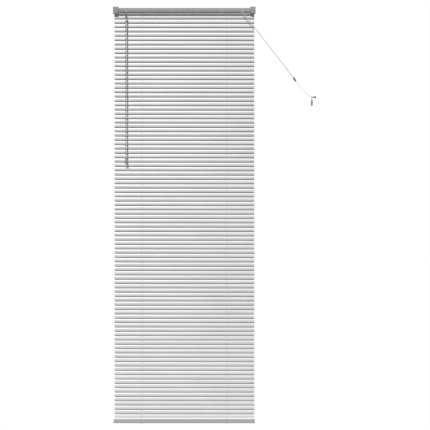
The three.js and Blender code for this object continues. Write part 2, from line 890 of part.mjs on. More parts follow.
function addPullCords() {
  place("pull_cord_front", strand(1), cordWhite);
  place("pull_cord_rear", strand(-1), cordWhite);
  place("pull_cord_tail", tube(tailRoute, pullCordRadius, 28), cordWhite);

  const length = connectorTop.distanceTo(connectorBottom);
  const capTop = length * (1 - connectorShellShare);
  const shell = onConnector([
    [2.6, capTop + gap],
    [connectorRadius, capTop + gap],
    [connectorRadius, length - 3],
    [connectorRadius - 0.9, length],
    [2.6, length],
    [2.6, capTop + gap],
  ]);
  place("connector_shell", shell, darkGrey);
  const cap = onConnector([
    [pullCordRadius + gap, 0],
    [connectorRadius - 2, 0],
    [connectorRadius, 4],
    [connectorRadius, capTop],
    [pullCordRadius + gap, capTop],
    [pullCordRadius + gap, 0],
  ]);
  place("connector_cap", cap, darkGrey);
}

// ---------- Bottom rail ----------
function bottomRail() {
  const y0 = curtainY - bottomRailDepth / 2;
  const y1 = curtainY + bottomRailDepth / 2;
  const z0 = bottomRailTopZ - bottomRailHeight;
  const wall = bottomRailWall;
  const outer = roundedRectangle(y0, y1, z0, bottomRailTopZ, bottomRailCorner, 3);
  const inner = roundedRectangle(
    y0 + wall,
    y1 - wall,
    z0 + wall,
    bottomRailTopZ - wall,
    bottomRailCorner - wall,
    2,
  );
  const holes = Object.values(sides).map((sign) =>
    turned(
      [
        [0, z0 - 1],
        [buttonStemRadius + gap, z0 - 1],
        [buttonStemRadius + gap, z0 + wall + 1],
        [0, z0 + wall + 1],
      ],
      12,
    ).translate(sign * ladderX, curtainY, 0),
  );
  return cut(alongX(outer, -bottomRailHalf, bottomRailHalf, [inner]), ...holes);
}

function bottomRailCap() {
  const y0 = curtainY - bottomRailDepth / 2;
  const y1 = curtainY + bottomRailDepth / 2;
  const z0 = bottomRailTopZ - bottomRailHeight;
  const start = bottomRailHalf + gap;
  const inset = bottomRailWall + gap + 0.6;
  const plate = roundedRectangle(y0, y1, z0, bottomRailTopZ, bottomRailCorner, 3);
  const spigot = block(
    bottomRailHalf - 10,
    start + gap,
    y0 + inset,
    y1 - inset,
    z0 + inset,
    bottomRailTopZ - inset,
  );
  return join(alongX(plate, start, start + bottomCapThickness), spigot);
}

function railButton() {
  const z0 = bottomRailTopZ - bottomRailHeight;
  const discTop = z0 - gap;
  return turned(
    [
      [0, discTop - 2],
      [buttonRadius - 0.8, discTop - 2],
      [buttonRadius, discTop - 1.2],
      [buttonRadius, discTop],
      [buttonStemRadius, discTop],
      [buttonStemRadius, z0 + 5],
      [0, z0 + 5],
    ],
    14,
  ).translate(ladderX, curtainY, 0);
}

function addBottomRail() {
  place("bottom_rail", bottomRail(), railGrey);
  for (const side of Object.keys(sides)) {
    const group = endGroup(side);
    place(`bottom_rail_cap_${side}`, bottomRailCap(), plasticGrey, group);
    place(`rail_button_${side}`, railButton(), plasticGrey, group);
  }
}

// ---------- Wall hook and tassel ----------
function wallHook() {
  const boss = barY(hookBossRadius, -hookBossDepth, 0, hookX, hookZ, 16);
  const arm = tube(
    [
      [hookX, -hookBossDepth + 0.5, hookZ],
      [hookX, hookArmY + 5, hookZ],
      [hookX - 1.4, hookArmY + 1.4, hookZ],
      [hookX - 5, hookArmY, hookZ],
      [hookTipX + 4, hookArmY, hookZ],
      [hookTipX, hookArmY, hookZ + 0.2],
      [hookTipX - 1.5, hookArmY, hookZ + 0.8],
    ],
    hookRadius,
    16,
  );
  return join(boss, arm);
}

function tassel() {
  const bottom = -tasselLength;
  return turned(
    [
      [0, bottom],
      [3.2, bottom],
      [4, bottom + 2],
      [5, bottom + 12],
      [4.8, bottom + 20],
      [3, bottom + 31],
      [2, bottom + 36],
      [1.6, 0],
      [0, 0],
    ],
    14,
  ).translate(tasselX, tasselY, tasselTopZ);
}

function addHookAndTassel() {
  place("wall_hook", wallHook(), darkGrey);
  place("tassel", tassel(), plasticGrey);
}

addSlatGroups();
addHangingCords();
addHeadrail();
addBrackets();
addTiltTrain();
addWand();
addCordLock();
addPullCords();
addBottomRail();
addHookAndTassel();

export default blind;
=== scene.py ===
# %% [markdown]
# # A closed aluminium venetian blind
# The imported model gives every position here. The frame is in metres: +X to the right, +Y towards the
# wall, +Z up, with the origin on the wall, mid-width, level with the bracket tops.

# %% Load the frame
import json
import math
import random

import bmesh
import bpy
from mathutils import Matrix, Vector

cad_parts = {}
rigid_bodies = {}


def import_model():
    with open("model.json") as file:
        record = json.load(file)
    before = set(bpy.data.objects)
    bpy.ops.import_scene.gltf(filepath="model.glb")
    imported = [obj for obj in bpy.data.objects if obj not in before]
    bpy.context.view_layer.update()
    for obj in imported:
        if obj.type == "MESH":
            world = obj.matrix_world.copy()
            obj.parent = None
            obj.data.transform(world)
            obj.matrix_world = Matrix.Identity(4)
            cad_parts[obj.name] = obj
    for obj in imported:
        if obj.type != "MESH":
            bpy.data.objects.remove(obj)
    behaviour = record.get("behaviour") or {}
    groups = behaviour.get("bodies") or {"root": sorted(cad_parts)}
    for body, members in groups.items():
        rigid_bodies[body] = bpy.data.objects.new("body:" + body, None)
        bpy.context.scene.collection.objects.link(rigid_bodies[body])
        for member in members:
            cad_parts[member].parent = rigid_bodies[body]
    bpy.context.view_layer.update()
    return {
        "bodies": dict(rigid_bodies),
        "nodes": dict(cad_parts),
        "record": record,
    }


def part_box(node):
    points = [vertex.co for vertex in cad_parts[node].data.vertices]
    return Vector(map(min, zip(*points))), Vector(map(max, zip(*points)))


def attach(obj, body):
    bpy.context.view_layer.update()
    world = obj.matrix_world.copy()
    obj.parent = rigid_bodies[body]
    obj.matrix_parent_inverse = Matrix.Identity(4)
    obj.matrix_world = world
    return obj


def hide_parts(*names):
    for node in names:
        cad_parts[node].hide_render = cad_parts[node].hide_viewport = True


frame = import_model()
MM = 0.001
SIDES = {"left": -1, "right": 1}

# %% [markdown]
# ## Camera
# The blind is seen square on, from well back and from half its height, so the slats at the top are seen
# slightly from below and those at the bottom slightly from above. A long lens at a long distance keeps
# the edges parallel.

# %% Camera
VIEW_WIDTH = 2.15
VIEW_DISTANCE = 8.0
VIEW_CENTRE = (0.1535, -1.041)
CURTAIN_FRONT = 0.018
camera = bpy.data.objects.new("camera", bpy.data.cameras.new("camera"))
bpy.context.scene.collection.objects.link(camera)
camera.location = (VIEW_CENTRE[0], -VIEW_DISTANCE, VIEW_CENTRE[1])
camera.rotation_euler = (math.pi / 2, 0, 0)
camera.data.lens = camera.data.sensor_width * (VIEW_DISTANCE - CURTAIN_FRONT) / VIEW_WIDTH
camera.data.clip_end = 100
bpy.context.scene.camera = camera
print("lens", round(camera.data.lens, 1), "mm")

# %% [markdown]
# ## Mesh helpers
# Sheet metal, extrusions, turned parts and cords are all made by the same move: a closed outline is
# repeated along a line and neighbouring copies are joined with quads. `mesh_from` does that for any list of
# rings of points.

# %% Rings into a mesh
MERGE_DISTANCE = 1e-7


def mesh_from(rings_list, name):
    """One mesh from several skins. Each skin is (rings, closed): rings of points joined in order."""
    bm = bmesh.new()
    for rings, closed in rings_list:
        loops = [[bm.verts.new(p) for p in ring] for ring in rings]
        pairs = list(zip(loops, loops[1:]))
        if closed:
            pairs.append((loops[-1], loops[0]))
        for a, b in pairs:
            count = len(a)
            for i in range(count):
                j = (i + 1) % count
                bm.faces.new((a[i], a[j], b[j], b[i]))
        if not closed:
            bm.faces.new(list(reversed(loops[0])))
            bm.faces.new(loops[-1])
    bmesh.ops.remove_doubles(bm, verts=bm.verts, dist=MERGE_DISTANCE)
    bmesh.ops.recalc_face_normals(bm, faces=bm.faces)
    mesh = bpy.data.meshes.new(name)
    bm.to_mesh(mesh)
    bm.free()
    return mesh


print("points closer than", MERGE_DISTANCE, "m are joined")

# %% [markdown]
# Every piece is shaded smooth apart from its real edges, rides on the body that carries it, takes its one
# finish, and hides the plain solids of the packed model that it stands for.

# %% Piece helper
SMOOTH_ANGLE = math.radians(35)


def smooth(mesh, angle=SMOOTH_ANGLE):
    mesh.polygons.foreach_set("use_smooth", [True] * len(mesh.polygons))
    mesh.set_sharp_from_angle(angle=angle)
    return mesh


def piece(name, mesh, material, body="root", stands_for=()):
    obj = bpy.data.objects.new(name, smooth(mesh))
    bpy.context.scene.collection.objects.link(obj)
    mesh.materials.append(material)
    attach(obj, body)
    if stands_for:
        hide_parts(*stands_for)
    return obj


print("smooth below", round(math.degrees(SMOOTH_ANGLE)), "degrees")

# %% [markdown]
# Outlines with rounded corners come from `fillet`, which replaces each corner by a short arc. `strip`
# turns the line through the middle of a bent sheet into the closed outline of a sheet of even thickness.

# %% Outlines
def fillet(corners, steps=4):
    """Outline with arcs: each corner is (a, b, radius)."""
    points = []
    for i, (a, b, radius) in enumerate(corners):
        here = Vector((a, b))
        if radius <= 0:
            points.append(here)
            continue
        before = (Vector(corners[i - 1][:2]) - here).normalized()
        after = (Vector(corners[(i + 1) % len(corners)][:2]) - here).normalized()
        half = before.angle(after) / 2
        reach = radius / math.tan(half)
        centre = here + (before + after).normalized() * (radius / math.sin(half))
        start, end = here + before * reach - centre, here + after * reach - centre
        turn = start.angle_signed(end)
        for k in range(steps + 1):
            angle = -turn * k / steps
            cos, sin = math.cos(angle), math.sin(angle)
            points.append(centre + Vector((start.x * cos - start.y * sin, start.x * sin + start.y * cos)))
    return [tuple(p) for p in points]


def strip(line, thickness):
    points = [Vector(p) for p in line]
    offsets = []
    for i in range(len(points)):
        before = (points[max(i, 1)] - points[max(i, 1) - 1]).normalized()
        last = min(i, len(points) - 2)
        after = (points[last + 1] - points[last]).normalized()
        n1, n2 = Vector((-before.y, before.x)), Vector((-after.y, after.x))
        offsets.append((n1 + n2) * (thickness / 2 / (1 + n1.dot(n2))))
    near = [tuple(p + o) for p, o in zip(points, offsets)]
    far = [tuple(p - o) for p, o in zip(points, offsets)]
    return near + far[::-1]


def open_fillet(corners, steps=4):
    """The same for an open line, whose two ends stay as they are."""
    ends = (0, len(corners) - 1)
    return fillet([(a, b, 0 if i in ends else r) for i, (a, b, r) in enumerate(corners)], steps)


print("a rounded triangle has", len(fillet([(0, 0, 0.1), (1, 0, 0.1), (0, 1, 0.1)], 4)), "points")

# %% [markdown]
# A rail is one outline pushed along an axis, a screw or a knob is a profile turned about an axis, and a
# cord or a bent wire is a round section carried along a line. These three cover nearly every piece here.

# %% Extrusions, turned parts and tubes
def inset(outline, distance):
    """The outline moved inwards by a distance, for the rounding of an extrusion's ends."""
    points = [Vector(p) for p in outline]
    area = sum(a.x * b.y - b.x * a.y for a, b in zip(points, points[1:] + points[:1]))
    sign = 1 if area > 0 else -1
    moved = []
    for i, p in enumerate(points):
        before = (p - points[i - 1]).normalized()
        after = (points[(i + 1) % len(points)] - p).normalized()
        n1, n2 = Vector((-before.y, before.x)), Vector((-after.y, after.x))
        moved.append(p + (n1 + n2) * (sign * distance / (1 + n1.dot(n2))))
    return moved


def prism(axis, outline, start, end, rounding=0.0, steps=3):
    """An outline drawn out along an axis, with its two end edges rounded off."""
    stations = [(start, 0.0), (end, 0.0)]
    if rounding:
        arc = [math.pi / 2 * k / steps for k in range(steps + 1)]
        near = [(start + rounding * (1 - math.sin(t)), rounding * (1 - math.cos(t))) for t in reversed(arc)]
        far = [(end - rounding * (1 - math.sin(t)), rounding * (1 - math.cos(t))) for t in arc]
        stations = near + far
    rings = []
    for along, shrink in stations:
        flat = inset(outline, shrink) if shrink else outline
        ring = [list(p) for p in flat]
        for point in ring:
            point.insert("xyz".index(axis), along)
        rings.append(ring)
    return (rings, False)


def turned(profile, segments=40):
    """A (radius, height) profile turned about Z. One that starts or ends off the axis closes on itself."""
    rings = []
    for k in range(segments):
        angle = 2 * math.pi * k / segments
        cos, sin = math.cos(angle), math.sin(angle)
        rings.append([(max(r, 1e-9) * cos, max(r, 1e-9) * sin, h) for r, h in profile])
    return rings


def smooth_line(points, samples):
    """A Catmull-Rom line through the points, with an even number of samples on each stretch."""
    p = [Vector(q) for q in points]
    p = [2 * p[0] - p[1], *p, 2 * p[-1] - p[-2]]
    line = []
    for i in range(1, len(p) - 2):
        for k in range(samples):
            t = k / samples
            line.append(
                0.5
                * (
                    2 * p[i]
                    + (p[i + 1] - p[i - 1]) * t
                    + (2 * p[i - 1] - 5 * p[i] + 4 * p[i + 1] - p[i + 2]) * t**2
                    + (3 * p[i] - p[i - 1] - 3 * p[i + 1] + p[i + 2]) * t**3
                )
            )
    return [*line, p[-2]]


def tube(line, radius, segments=12):
    """Rings of points round a line, turned as little as possible from one to the next."""
    line = [Vector(p) for p in line]
    rings, across = [], None
    for i, p in enumerate(line):
        ahead = (line[min(i + 1, len(line) - 1)] - line[max(i - 1, 0)]).normalized()
        if across is None:
            across = ahead.orthogonal()
        across = (across - ahead * across.dot(ahead)).normalized()
        up = ahead.cross(across)
        angles = [2 * math.pi * k / segments for k in range(segments)]
        rings.append([p + radius * (across * math.cos(a) + up * math.sin(a)) for a in angles])
    return rings


print("a part turned in 8 steps has", len(turned([(0, 0), (1, 0), (0, 1)], 8)), "sections")

# %% [markdown]
# Holes and unions are cut with the Boolean modifier, applied straight away, so no modifier or helper
# object stays.

# %% Booleans
def rectangle(a0, a1, b0, b1, radius=0.0):
    corners = [(a0, b0), (a1, b0), (a1, b1), (a0, b1)]
    return fillet([(a, b, radius) for a, b in corners]) if radius else corners


def circle(a, b, radius, segments=32):
    turns = [2 * math.pi * k / segments for k in range(segments)]
    return [(a + radius * math.cos(t), b + radius * math.sin(t)) for t in turns]


def combine(mesh, operation, *tools):
    """The mesh after each tool, a (rings, closed) skin, has been joined to it or cut from it."""
    obj = bpy.data.objects.new("work", mesh)
    bpy.context.scene.collection.objects.link(obj)
    helpers = []
    for tool in tools:
        helper = bpy.data.objects.new("tool", mesh_from([tool], "tool"))
        bpy.context.scene.collection.objects.link(helper)
        modifier = obj.modifiers.new("cut", "BOOLEAN")
        modifier.operation = operation
        modifier.solver = "EXACT"
        modifier.object = helper
        helpers.append(helper)
    made = bpy.data.meshes.new_from_object(obj.evaluated_get(bpy.context.evaluated_depsgraph_get()))
    for spare in [obj, *helpers]:
        bpy.data.objects.remove(spare)
    return made


print("an opening with round corners has", len(rectangle(0, 4, 0, 2, 0.5)), "points")

# %% [markdown]
# ## Shared surface effects
# Paint, plastic and cord all need small changes over their surface: a fine grain, a film of dust on what
# faces up, edges rubbed brighter and the plait of a cord. Each effect is a node group with named inputs
# and outputs, built once and placed in each material with its own values. The shader itself stays in the
# material.

# %% Node group helpers
def node_group(name, inputs, outputs):
    group = bpy.data.node_groups.new(name, "ShaderNodeTree")
    for label, value in inputs.items():
        socket = group.interface.new_socket(label, in_out="INPUT", socket_type="NodeSocketFloat")
        socket.default_value = value
    for label, kind in outputs.items():
        group.interface.new_socket(label, in_out="OUTPUT", socket_type=kind)
    return group, group.nodes.new("NodeGroupInput"), group.nodes.new("NodeGroupOutput")


def math_node(tree, operation, a, b=None, clamp=False):
    node = tree.nodes.new("ShaderNodeMath")
    node.operation = operation
    node.use_clamp = clamp
    for socket, value in zip(node.inputs, (a, b)):
        if value is None:
            continue
        if isinstance(value, (int, float)):
            socket.default_value = value
        else:
            tree.links.new(value, socket)
    return node.outputs[0]


def noise(tree, vector, scale, detail=3.0, roughness=0.5):
    node = tree.nodes.new("ShaderNodeTexNoise")
    tree.links.new(vector, node.inputs["Vector"])
    for label, value in {"Scale": scale, "Detail": detail, "Roughness": roughness}.items():
        if isinstance(value, (int, float)):
            node.inputs[label].default_value = value
        else:
            tree.links.new(value, node.inputs[label])
    return node.outputs["Fac"]


def stretched(tree, factors):
    """Object coordinates, multiplied by a different factor along each axis."""
    place = tree.nodes.new("ShaderNodeTexCoord")
    scale = tree.nodes.new("ShaderNodeVectorMath")
    scale.operation = "MULTIPLY"
    scale.inputs[1].default_value = factors
    tree.links.new(place.outputs["Object"], scale.inputs[0])
    return scale.outputs[0]


print("node helpers are ready")

# %% [markdown]
# Rolling and coating leave fine lines along a strip. A noise squeezed along X draws them, and a wide soft
# noise varies the tone. A picture of grain would need unwrapping, so noise is simpler and stays sharp
# from close by.

# %% Drawn grain
GROUPS = {}


def make_grain():
    group, given, put = node_group(
        "drawn_grain", {"Scale": 900.0}, {"Height": "NodeSocketFloat", "Tone": "NodeSocketFloat"}
    )
    line = stretched(group, (0.012, 1.0, 1.0))
    cloud = stretched(group, (0.25, 1.0, 1.0))
    fine = noise(group, line, given.outputs["Scale"], 4.0, 0.6)
    wide = noise(group, cloud, 22.0, 2.0)
    group.links.new(fine, put.inputs["Height"])
    group.links.new(wide, put.inputs["Tone"])
    return group


GROUPS["grain"] = make_grain()
print("effect grain:", len(GROUPS["grain"].nodes), "nodes")


# %% [markdown]
# Dust settles as a thin film on faces that look up. The upward part of the normal says where, and a soft
# noise breaks the film up, so that no face is evenly grey.

# %% Settled dust
def make_dust():
    group, given, put = node_group(
        "settled_dust", {"Amount": 0.5, "Scale": 60.0}, {"Mask": "NodeSocketFloat"}
    )
    geometry = group.nodes.new("ShaderNodeNewGeometry")
    split = group.nodes.new("ShaderNodeSeparateXYZ")
    group.links.new(geometry.outputs["Normal"], split.inputs[0])
    upward = math_node(group, "POWER", math_node(group, "MAXIMUM", split.outputs["Z"], 0.0), 1.6)
    patch = noise(group, stretched(group, (0.4, 1.0, 1.0)), given.outputs["Scale"], 5.0, 0.6)
    patch = math_node(group, "MULTIPLY", math_node(group, "SUBTRACT", patch, 0.3), 1.8, clamp=True)
    full = math_node(group, "MULTIPLY", upward, patch)
    mask = math_node(group, "MULTIPLY", full, given.outputs["Amount"], True)
    group.links.new(mask, put.inputs["Mask"])
    return group


GROUPS["dust"] = make_dust()
print("effect dust:", len(GROUPS["dust"].nodes), "nodes")


# %% [markdown]
# Paint rubs through at convex edges. Pointiness finds them from how the surface curves, which saves
# painting a mask by hand, and a noise keeps the wear in places.

# %% Edge wear
def make_wear():
    group, given, put = node_group("edge_wear", {"Amount": 0.5, "Scale": 300.0}, {"Mask": "NodeSocketFloat"})
    geometry = group.nodes.new("ShaderNodeNewGeometry")
    edge = math_node(group, "SUBTRACT", geometry.outputs["Pointiness"], 0.52)
    edge = math_node(group, "MULTIPLY", edge, 9.0, clamp=True)
    broken = noise(group, stretched(group, (1.0, 1.0, 1.0)), given.outputs["Scale"], 4.0, 0.65)
    broken = math_node(group, "MULTIPLY", math_node(group, "SUBTRACT", broken, 0.35), 2.4, clamp=True)
    full = math_node(group, "MULTIPLY", edge, broken)
    mask = math_node(group, "MULTIPLY", full, given.outputs["Amount"], True)
    group.links.new(mask, put.inputs["Mask"])
    return group


GROUPS["wear"] = make_wear()
print("effect wear:", len(GROUPS["wear"].nodes), "nodes")


# %% [markdown]
# Sprayed paint and moulded plastic share a faint orange-peel. A fine even noise gives its height and a
# wide one its tone.

# %% Moulded skin
def make_skin():
    group, given, put = node_group(
        "moulded_skin", {"Scale": 1400.0}, {"Height": "NodeSocketFloat", "Tone": "NodeSocketFloat"}
    )
    even = stretched(group, (1.0, 1.0, 1.0))
    group.links.new(noise(group, even, given.outputs["Scale"], 2.0), put.inputs["Height"])
    group.links.new(noise(group, even, 35.0, 3.0), put.inputs["Tone"])
    return group


GROUPS["skin"] = make_skin()
print("effect skin:", len(GROUPS["skin"].nodes), "nodes")


# %% [markdown]
# A braided cord shows crossing strands. Two sets of waves slanted against each other give them, where
# modelling each strand would cost thousands of faces on a thin cord.

# %% Plait
def make_plait():
    group, given, put = node_group(
        "cord_plait", {"Scale": 1100.0}, {"Height": "NodeSocketFloat", "Tone": "NodeSocketFloat"}
    )
    heights = []
    for slant in (1.0, -1.0):
        turn = group.nodes.new("ShaderNodeVectorMath")
        turn.operation = "DOT_PRODUCT"
        turn.inputs[1].default_value = (slant, slant, 0.8)
        group.links.new(stretched(group, (1.0, 1.0, 1.0)), turn.inputs[0])
        along = math_node(group, "MULTIPLY", turn.outputs["Value"], given.outputs["Scale"])
        wave = math_node(group, "SINE", along)
        heights.append(math_node(group, "ABSOLUTE", wave))
    weave = math_node(group, "MAXIMUM", *heights)
    group.links.new(weave, put.inputs["Height"])
    fuzz = noise(group, stretched(group, (1.0, 1.0, 1.0)), 2600.0, 3.0)
    group.links.new(math_node(group, "MULTIPLY", weave, fuzz), put.inputs["Tone"])
    return group


GROUPS["plait"] = make_plait()
print("effect plait:", len(GROUPS["plait"].nodes), "nodes")


print("effects:", sorted(GROUPS))

# %% [markdown]
# ## Finishes
# Each finish is one Principled shader. Its base colour is two close tones mixed by an effect, with dust
# and wear laid over it, and its roughness and bump come from the same effects, so that nothing looks like
# one flat colour.

# %% Finish builder
def use(tree, key, **values):
    node = tree.nodes.new("ShaderNodeGroup")
    node.node_tree = GROUPS[key]
    for label, value in values.items():
        node.inputs[label].default_value = value
    return node.outputs


def blend_colour(tree, factor, a, b):
    node = tree.nodes.new("ShaderNodeMix")
    node.data_type = "RGBA"
    tree.links.new(factor, node.inputs["Factor"])
    for socket, value in ((node.inputs["A"], a), (node.inputs["B"], b)):
        if isinstance(value, tuple):
            socket.default_value = (*value, 1.0)
        else:
            tree.links.new(value, socket)
    return node.outputs["Result"]


def span(tree, factor, low, high):
    node = tree.nodes.new("ShaderNodeMapRange")
    node.inputs["To Min"].default_value = low
    node.inputs["To Max"].default_value = high
    tree.links.new(factor, node.inputs["Value"])
    return node.outputs[0]


def finish(name, tones, texture, rough, bump, fixed, dust=0.0, wear=None):
    """tones: two base colours. texture: (effect, scale). rough: (low, high). bump: (strength, distance).
    fixed: values set on the shader's own sockets. dust: its amount. wear: (amount, bare colour)."""
    material = bpy.data.materials.new(name)
    material.use_nodes = True
    tree = material.node_tree
    shader = tree.nodes["Principled BSDF"]
    effect = use(tree, texture[0], Scale=texture[1])
    colour = blend_colour(tree, span(tree, effect["Tone"], -0.6, 1.6), *tones)
    roughness = span(tree, effect["Tone"], *rough)
    if wear:
        mask = use(tree, "wear", Amount=wear[0])["Mask"]
        colour = blend_colour(tree, mask, colour, wear[1])
    if dust:
        mask = use(tree, "dust", Amount=dust)["Mask"]
        colour = blend_colour(tree, mask, colour, DUST_COLOUR)
        roughness = math_node(tree, "ADD", roughness, math_node(tree, "MULTIPLY", mask, 0.35), clamp=True)
    tree.links.new(colour, shader.inputs["Base Color"])
    tree.links.new(roughness, shader.inputs["Roughness"])
    if bump[0]:
        relief = tree.nodes.new("ShaderNodeBump")
        relief.inputs["Strength"].default_value = bump[0]
        relief.inputs["Distance"].default_value = bump[1]
        tree.links.new(effect["Height"], relief.inputs["Height"])
        tree.links.new(relief.outputs[0], shader.inputs["Normal"])
    for label, value in fixed.items():
        shader.inputs[label].default_value = value
    return material


DUST_COLOUR = (0.42, 0.40, 0.37)
print("dust colour", DUST_COLOUR)

# %% [markdown]
# The slats are coil-coated strip: a silver-white enamel with a satin sheen. The rails and brackets have a
# matt grey enamel, which is darker, so they frame the curtain.

# %% Enamels
SLAT = finish(
    "slat_enamel", ((0.80, 0.805, 0.81), (0.86, 0.86, 0.86)), ("grain", 900.0), (0.34, 0.44), (0.06, 0.00005),
    {"Metallic": 0.12, "Coat Weight": 0.15, "Coat Roughness": 0.2}, dust=0.18,
)
RAIL = finish(
    "rail_enamel", ((0.47, 0.47, 0.47), (0.52, 0.52, 0.52)), ("skin", 1400.0), (0.38, 0.5), (0.08, 0.0001),
    {"Metallic": 0.1, "Coat Weight": 0.1, "Coat Roughness": 0.3}, dust=0.3, wear=(0.35, (0.66, 0.66, 0.67)),
)
BRACKET = finish(
    "bracket_enamel", ((0.42, 0.42, 0.42), (0.48, 0.48, 0.48)), ("skin", 1100.0), (0.4, 0.55), (0.12, 0.0001),
    {"Metallic": 0.1}, dust=0.3, wear=(0.5, (0.62, 0.62, 0.63)),
)
print("enamels:", SLAT.name, RAIL.name, BRACKET.name)

# %% [markdown]
# The small parts are moulded plastic, zinc-plated wire, braided cord and clear acrylic. A near-black
# material paints shade on the band under the head rail's groove.

# %% Plastics, metal, cord and clear acrylic
GREY_PLASTIC = finish(
    "grey_plastic", ((0.36, 0.365, 0.37), (0.42, 0.425, 0.43)), ("skin", 1800.0), (0.42, 0.6), (0.15, 0.0001),
    {"Specular IOR Level": 0.45}, dust=0.2, wear=(0.25, (0.55, 0.55, 0.56)),
)
DARK_PLASTIC = finish(
    "dark_plastic", ((0.09, 0.092, 0.095), (0.12, 0.122, 0.125)),
    ("skin", 1800.0), (0.35, 0.55), (0.15, 0.0001),
    {"Specular IOR Level": 0.5}, dust=0.25, wear=(0.3, (0.2, 0.2, 0.21)),
)
NYLON = finish(
    "natural_nylon", ((0.74, 0.74, 0.70), (0.82, 0.82, 0.79)), ("skin", 1500.0), (0.4, 0.55), (0.1, 0.0001),
    {"Subsurface Weight": 0.08, "Subsurface Scale": 0.002}, dust=0.15,
)
ZINC = finish(
    "zinc_plate", ((0.52, 0.53, 0.55), (0.64, 0.65, 0.66)), ("grain", 1600.0), (0.22, 0.4), (0.12, 0.00008),
    {"Metallic": 1.0}, dust=0.1,
)
CORD = finish(
    "braided_cord", ((0.66, 0.66, 0.64), (0.86, 0.86, 0.84)), ("plait", 1500.0), (0.75, 0.95), (0.6, 0.00025),
    {"Sheen Weight": 0.35, "Sheen Roughness": 0.6},
)
# Painted shade: a near-black material for the band under the head rail's groove, where shadow falls.
RAIL_PAINTED_SHADE = finish(
    "rail_painted_shade", ((0.10, 0.10, 0.10), (0.13, 0.13, 0.13)),
    ("skin", 1400.0), (0.5, 0.65), (0.08, 0.0001),
    {}, dust=0.2,
)
ACRYLIC = finish(
    "clear_acrylic", ((0.80, 0.81, 0.82), (0.86, 0.87, 0.87)),
    ("grain", 700.0), (0.03, 0.09), (0.04, 0.00005),
    {"Transmission Weight": 1.0, "IOR": 1.49},
)
print("finishes:", sorted(m.name for m in bpy.data.materials))

# %% [markdown]
# ## Pull cords
# Two thin braided strands leave the cord lock and run taut past the right-hand edge to a two-part
# connector. One tail goes on to a wall hook, over its arm, and down to the tassel. The cord is seen from
# end to end, so it keeps that length. The route is a list of points, chosen along the real line, and the
# strands lie side by side.

# %% Cord routes in millimetres
CORD_RADIUS = 0.8 * MM
STRAND_ROUTE = [
    (290, -29.9, -25.4), (290.9, -31.2, -26.6), (294.5, -32.2, -31.4), (302.5, -32.4, -41.8),
    (316, -32.2, -59.3), (333, -31.8, -81.4), (352, -31.3, -106), (372, -30.8, -131.8),
    (393, -30.2, -158.9), (415, -29.6, -187.2), (438, -28.9, -216.8), (461, -28.2, -246.4),
    (484, -27.4, -275.9), (507, -26.5, -305.4), (529, -25.5, -333.5), (544.6, -24.7, -353.4),
]
STRAND_SPREAD = Vector((0.79, 0, 0.61))
CONNECTOR_TOP = Vector((545.1, -24.6, -354.3)) * MM
CONNECTOR_BOTTOM = Vector((557.2, -24, -373.4)) * MM
TAIL_ROUTE = [
    (557.35, -24, -373.65), (560.5, -23.8, -378.3), (566, -23.2, -385.7), (574, -22, -395.6),
    (583.5, -20.6, -406.4), (593.5, -19, -416.7), (603.5, -17.4, -425.8), (613, -15.8, -433.4),
    (621.5, -14.3, -439.4), (628.5, -13.2, -443.8), (633.6, -13.3, -446.5), (636.7, -14.9, -447.5),
    (637.8, -17, -447.9), (638, -18.9, -449.2), (637.8, -19.9, -451.6), (637.6, -20, -454.6),
    (637.5, -20, -457.7),
]


def strand_line(sign):
    last = len(STRAND_ROUTE) - 1
    points = []
    for i, point in enumerate(STRAND_ROUTE):
        spread = sign * (1.4 + (1.1 - 1.4) * i / last)
        points.append((Vector(point) + spread * STRAND_SPREAD) * MM)
    return smooth_line(points, 12)


def line_length(line):
    return sum((b - a).length for a, b in zip(line, line[1:]))


print("route points:", len(STRAND_ROUTE), "and", len(TAIL_ROUTE))

# %% [markdown]
# Each strand is a tube along its smoothed route. Its length is measured from that line and printed.

# %% Cord pieces
cord_lines = {
    "pull_cord_front": strand_line(1),
    "pull_cord_rear": strand_line(-1),
    "pull_cord_tail": smooth_line([Vector(p) * MM for p in TAIL_ROUTE], 12),
}
for name, line in cord_lines.items():
    mesh = mesh_from([(tube(line, CORD_RADIUS, 10), False)], name)
    piece(f"braided_{name}", mesh, CORD, "root", [name])
    print(name, round(line_length(line) * 1000, 1), "mm")

# %% [markdown]
# The connector is a small turned shell with a screwed cap. A profile is turned about Z and then laid
# along the line from the strands to the tail. Fine grooves round the cap give the fingers a grip.

# %% Connector
def laid(rings, bottom, top):
    turn = (top - bottom).to_track_quat("Z", "Y").to_matrix()
    return [[bottom + turn @ Vector(p) for p in ring] for ring in rings]


def connector():
    length = (CONNECTOR_TOP - CONNECTOR_BOTTOM).length
    split = 0.42 * length
    outer, bore = 4.2 * MM, 2.6 * MM
    shell = [
        (bore, split + 0.3 * MM), (outer - 0.3 * MM, split + 0.3 * MM), (outer, split + 0.6 * MM),
        (outer, length - 4 * MM), (outer - 0.25 * MM, length - 2 * MM), (outer - 0.9 * MM, length - 0.5 * MM),
        (outer - 1.3 * MM, length), (bore + 0.2 * MM, length), (bore, length - 0.4 * MM),
    ]
    narrow = CORD_RADIUS + 0.3 * MM
    cap = [(narrow, 0), (1.9 * MM, 0), (2.6 * MM, 0.5 * MM), (3.7 * MM, 2.6 * MM)]
    grooves = 3
    for i in range(grooves):
        z = (4.2 + 1.5 * i) * MM
        sunk = outer - 0.35 * MM
        cap += [(outer, z), (outer, z + 0.7 * MM), (sunk, z + 0.9 * MM), (sunk, z + 1.2 * MM)]
    cap += [(outer, split - 0.3 * MM), (outer - 0.3 * MM, split), (narrow, split)]
    return {"shell": shell, "cap": cap}


for part, profile in connector().items():
    rings = laid(turned(profile, 32), CONNECTOR_BOTTOM, CONNECTOR_TOP)
    mesh = mesh_from([(rings, True)], part)
    piece(f"cord_connector_{part}", mesh, DARK_PLASTIC, "root", [f"connector_{part}"])


print("connector", round((CONNECTOR_TOP - CONNECTOR_BOTTOM).length * 1000, 1), "mm")

# %% [markdown]
# The tassel is a slim moulded bell, which the knotted cord end sits in.

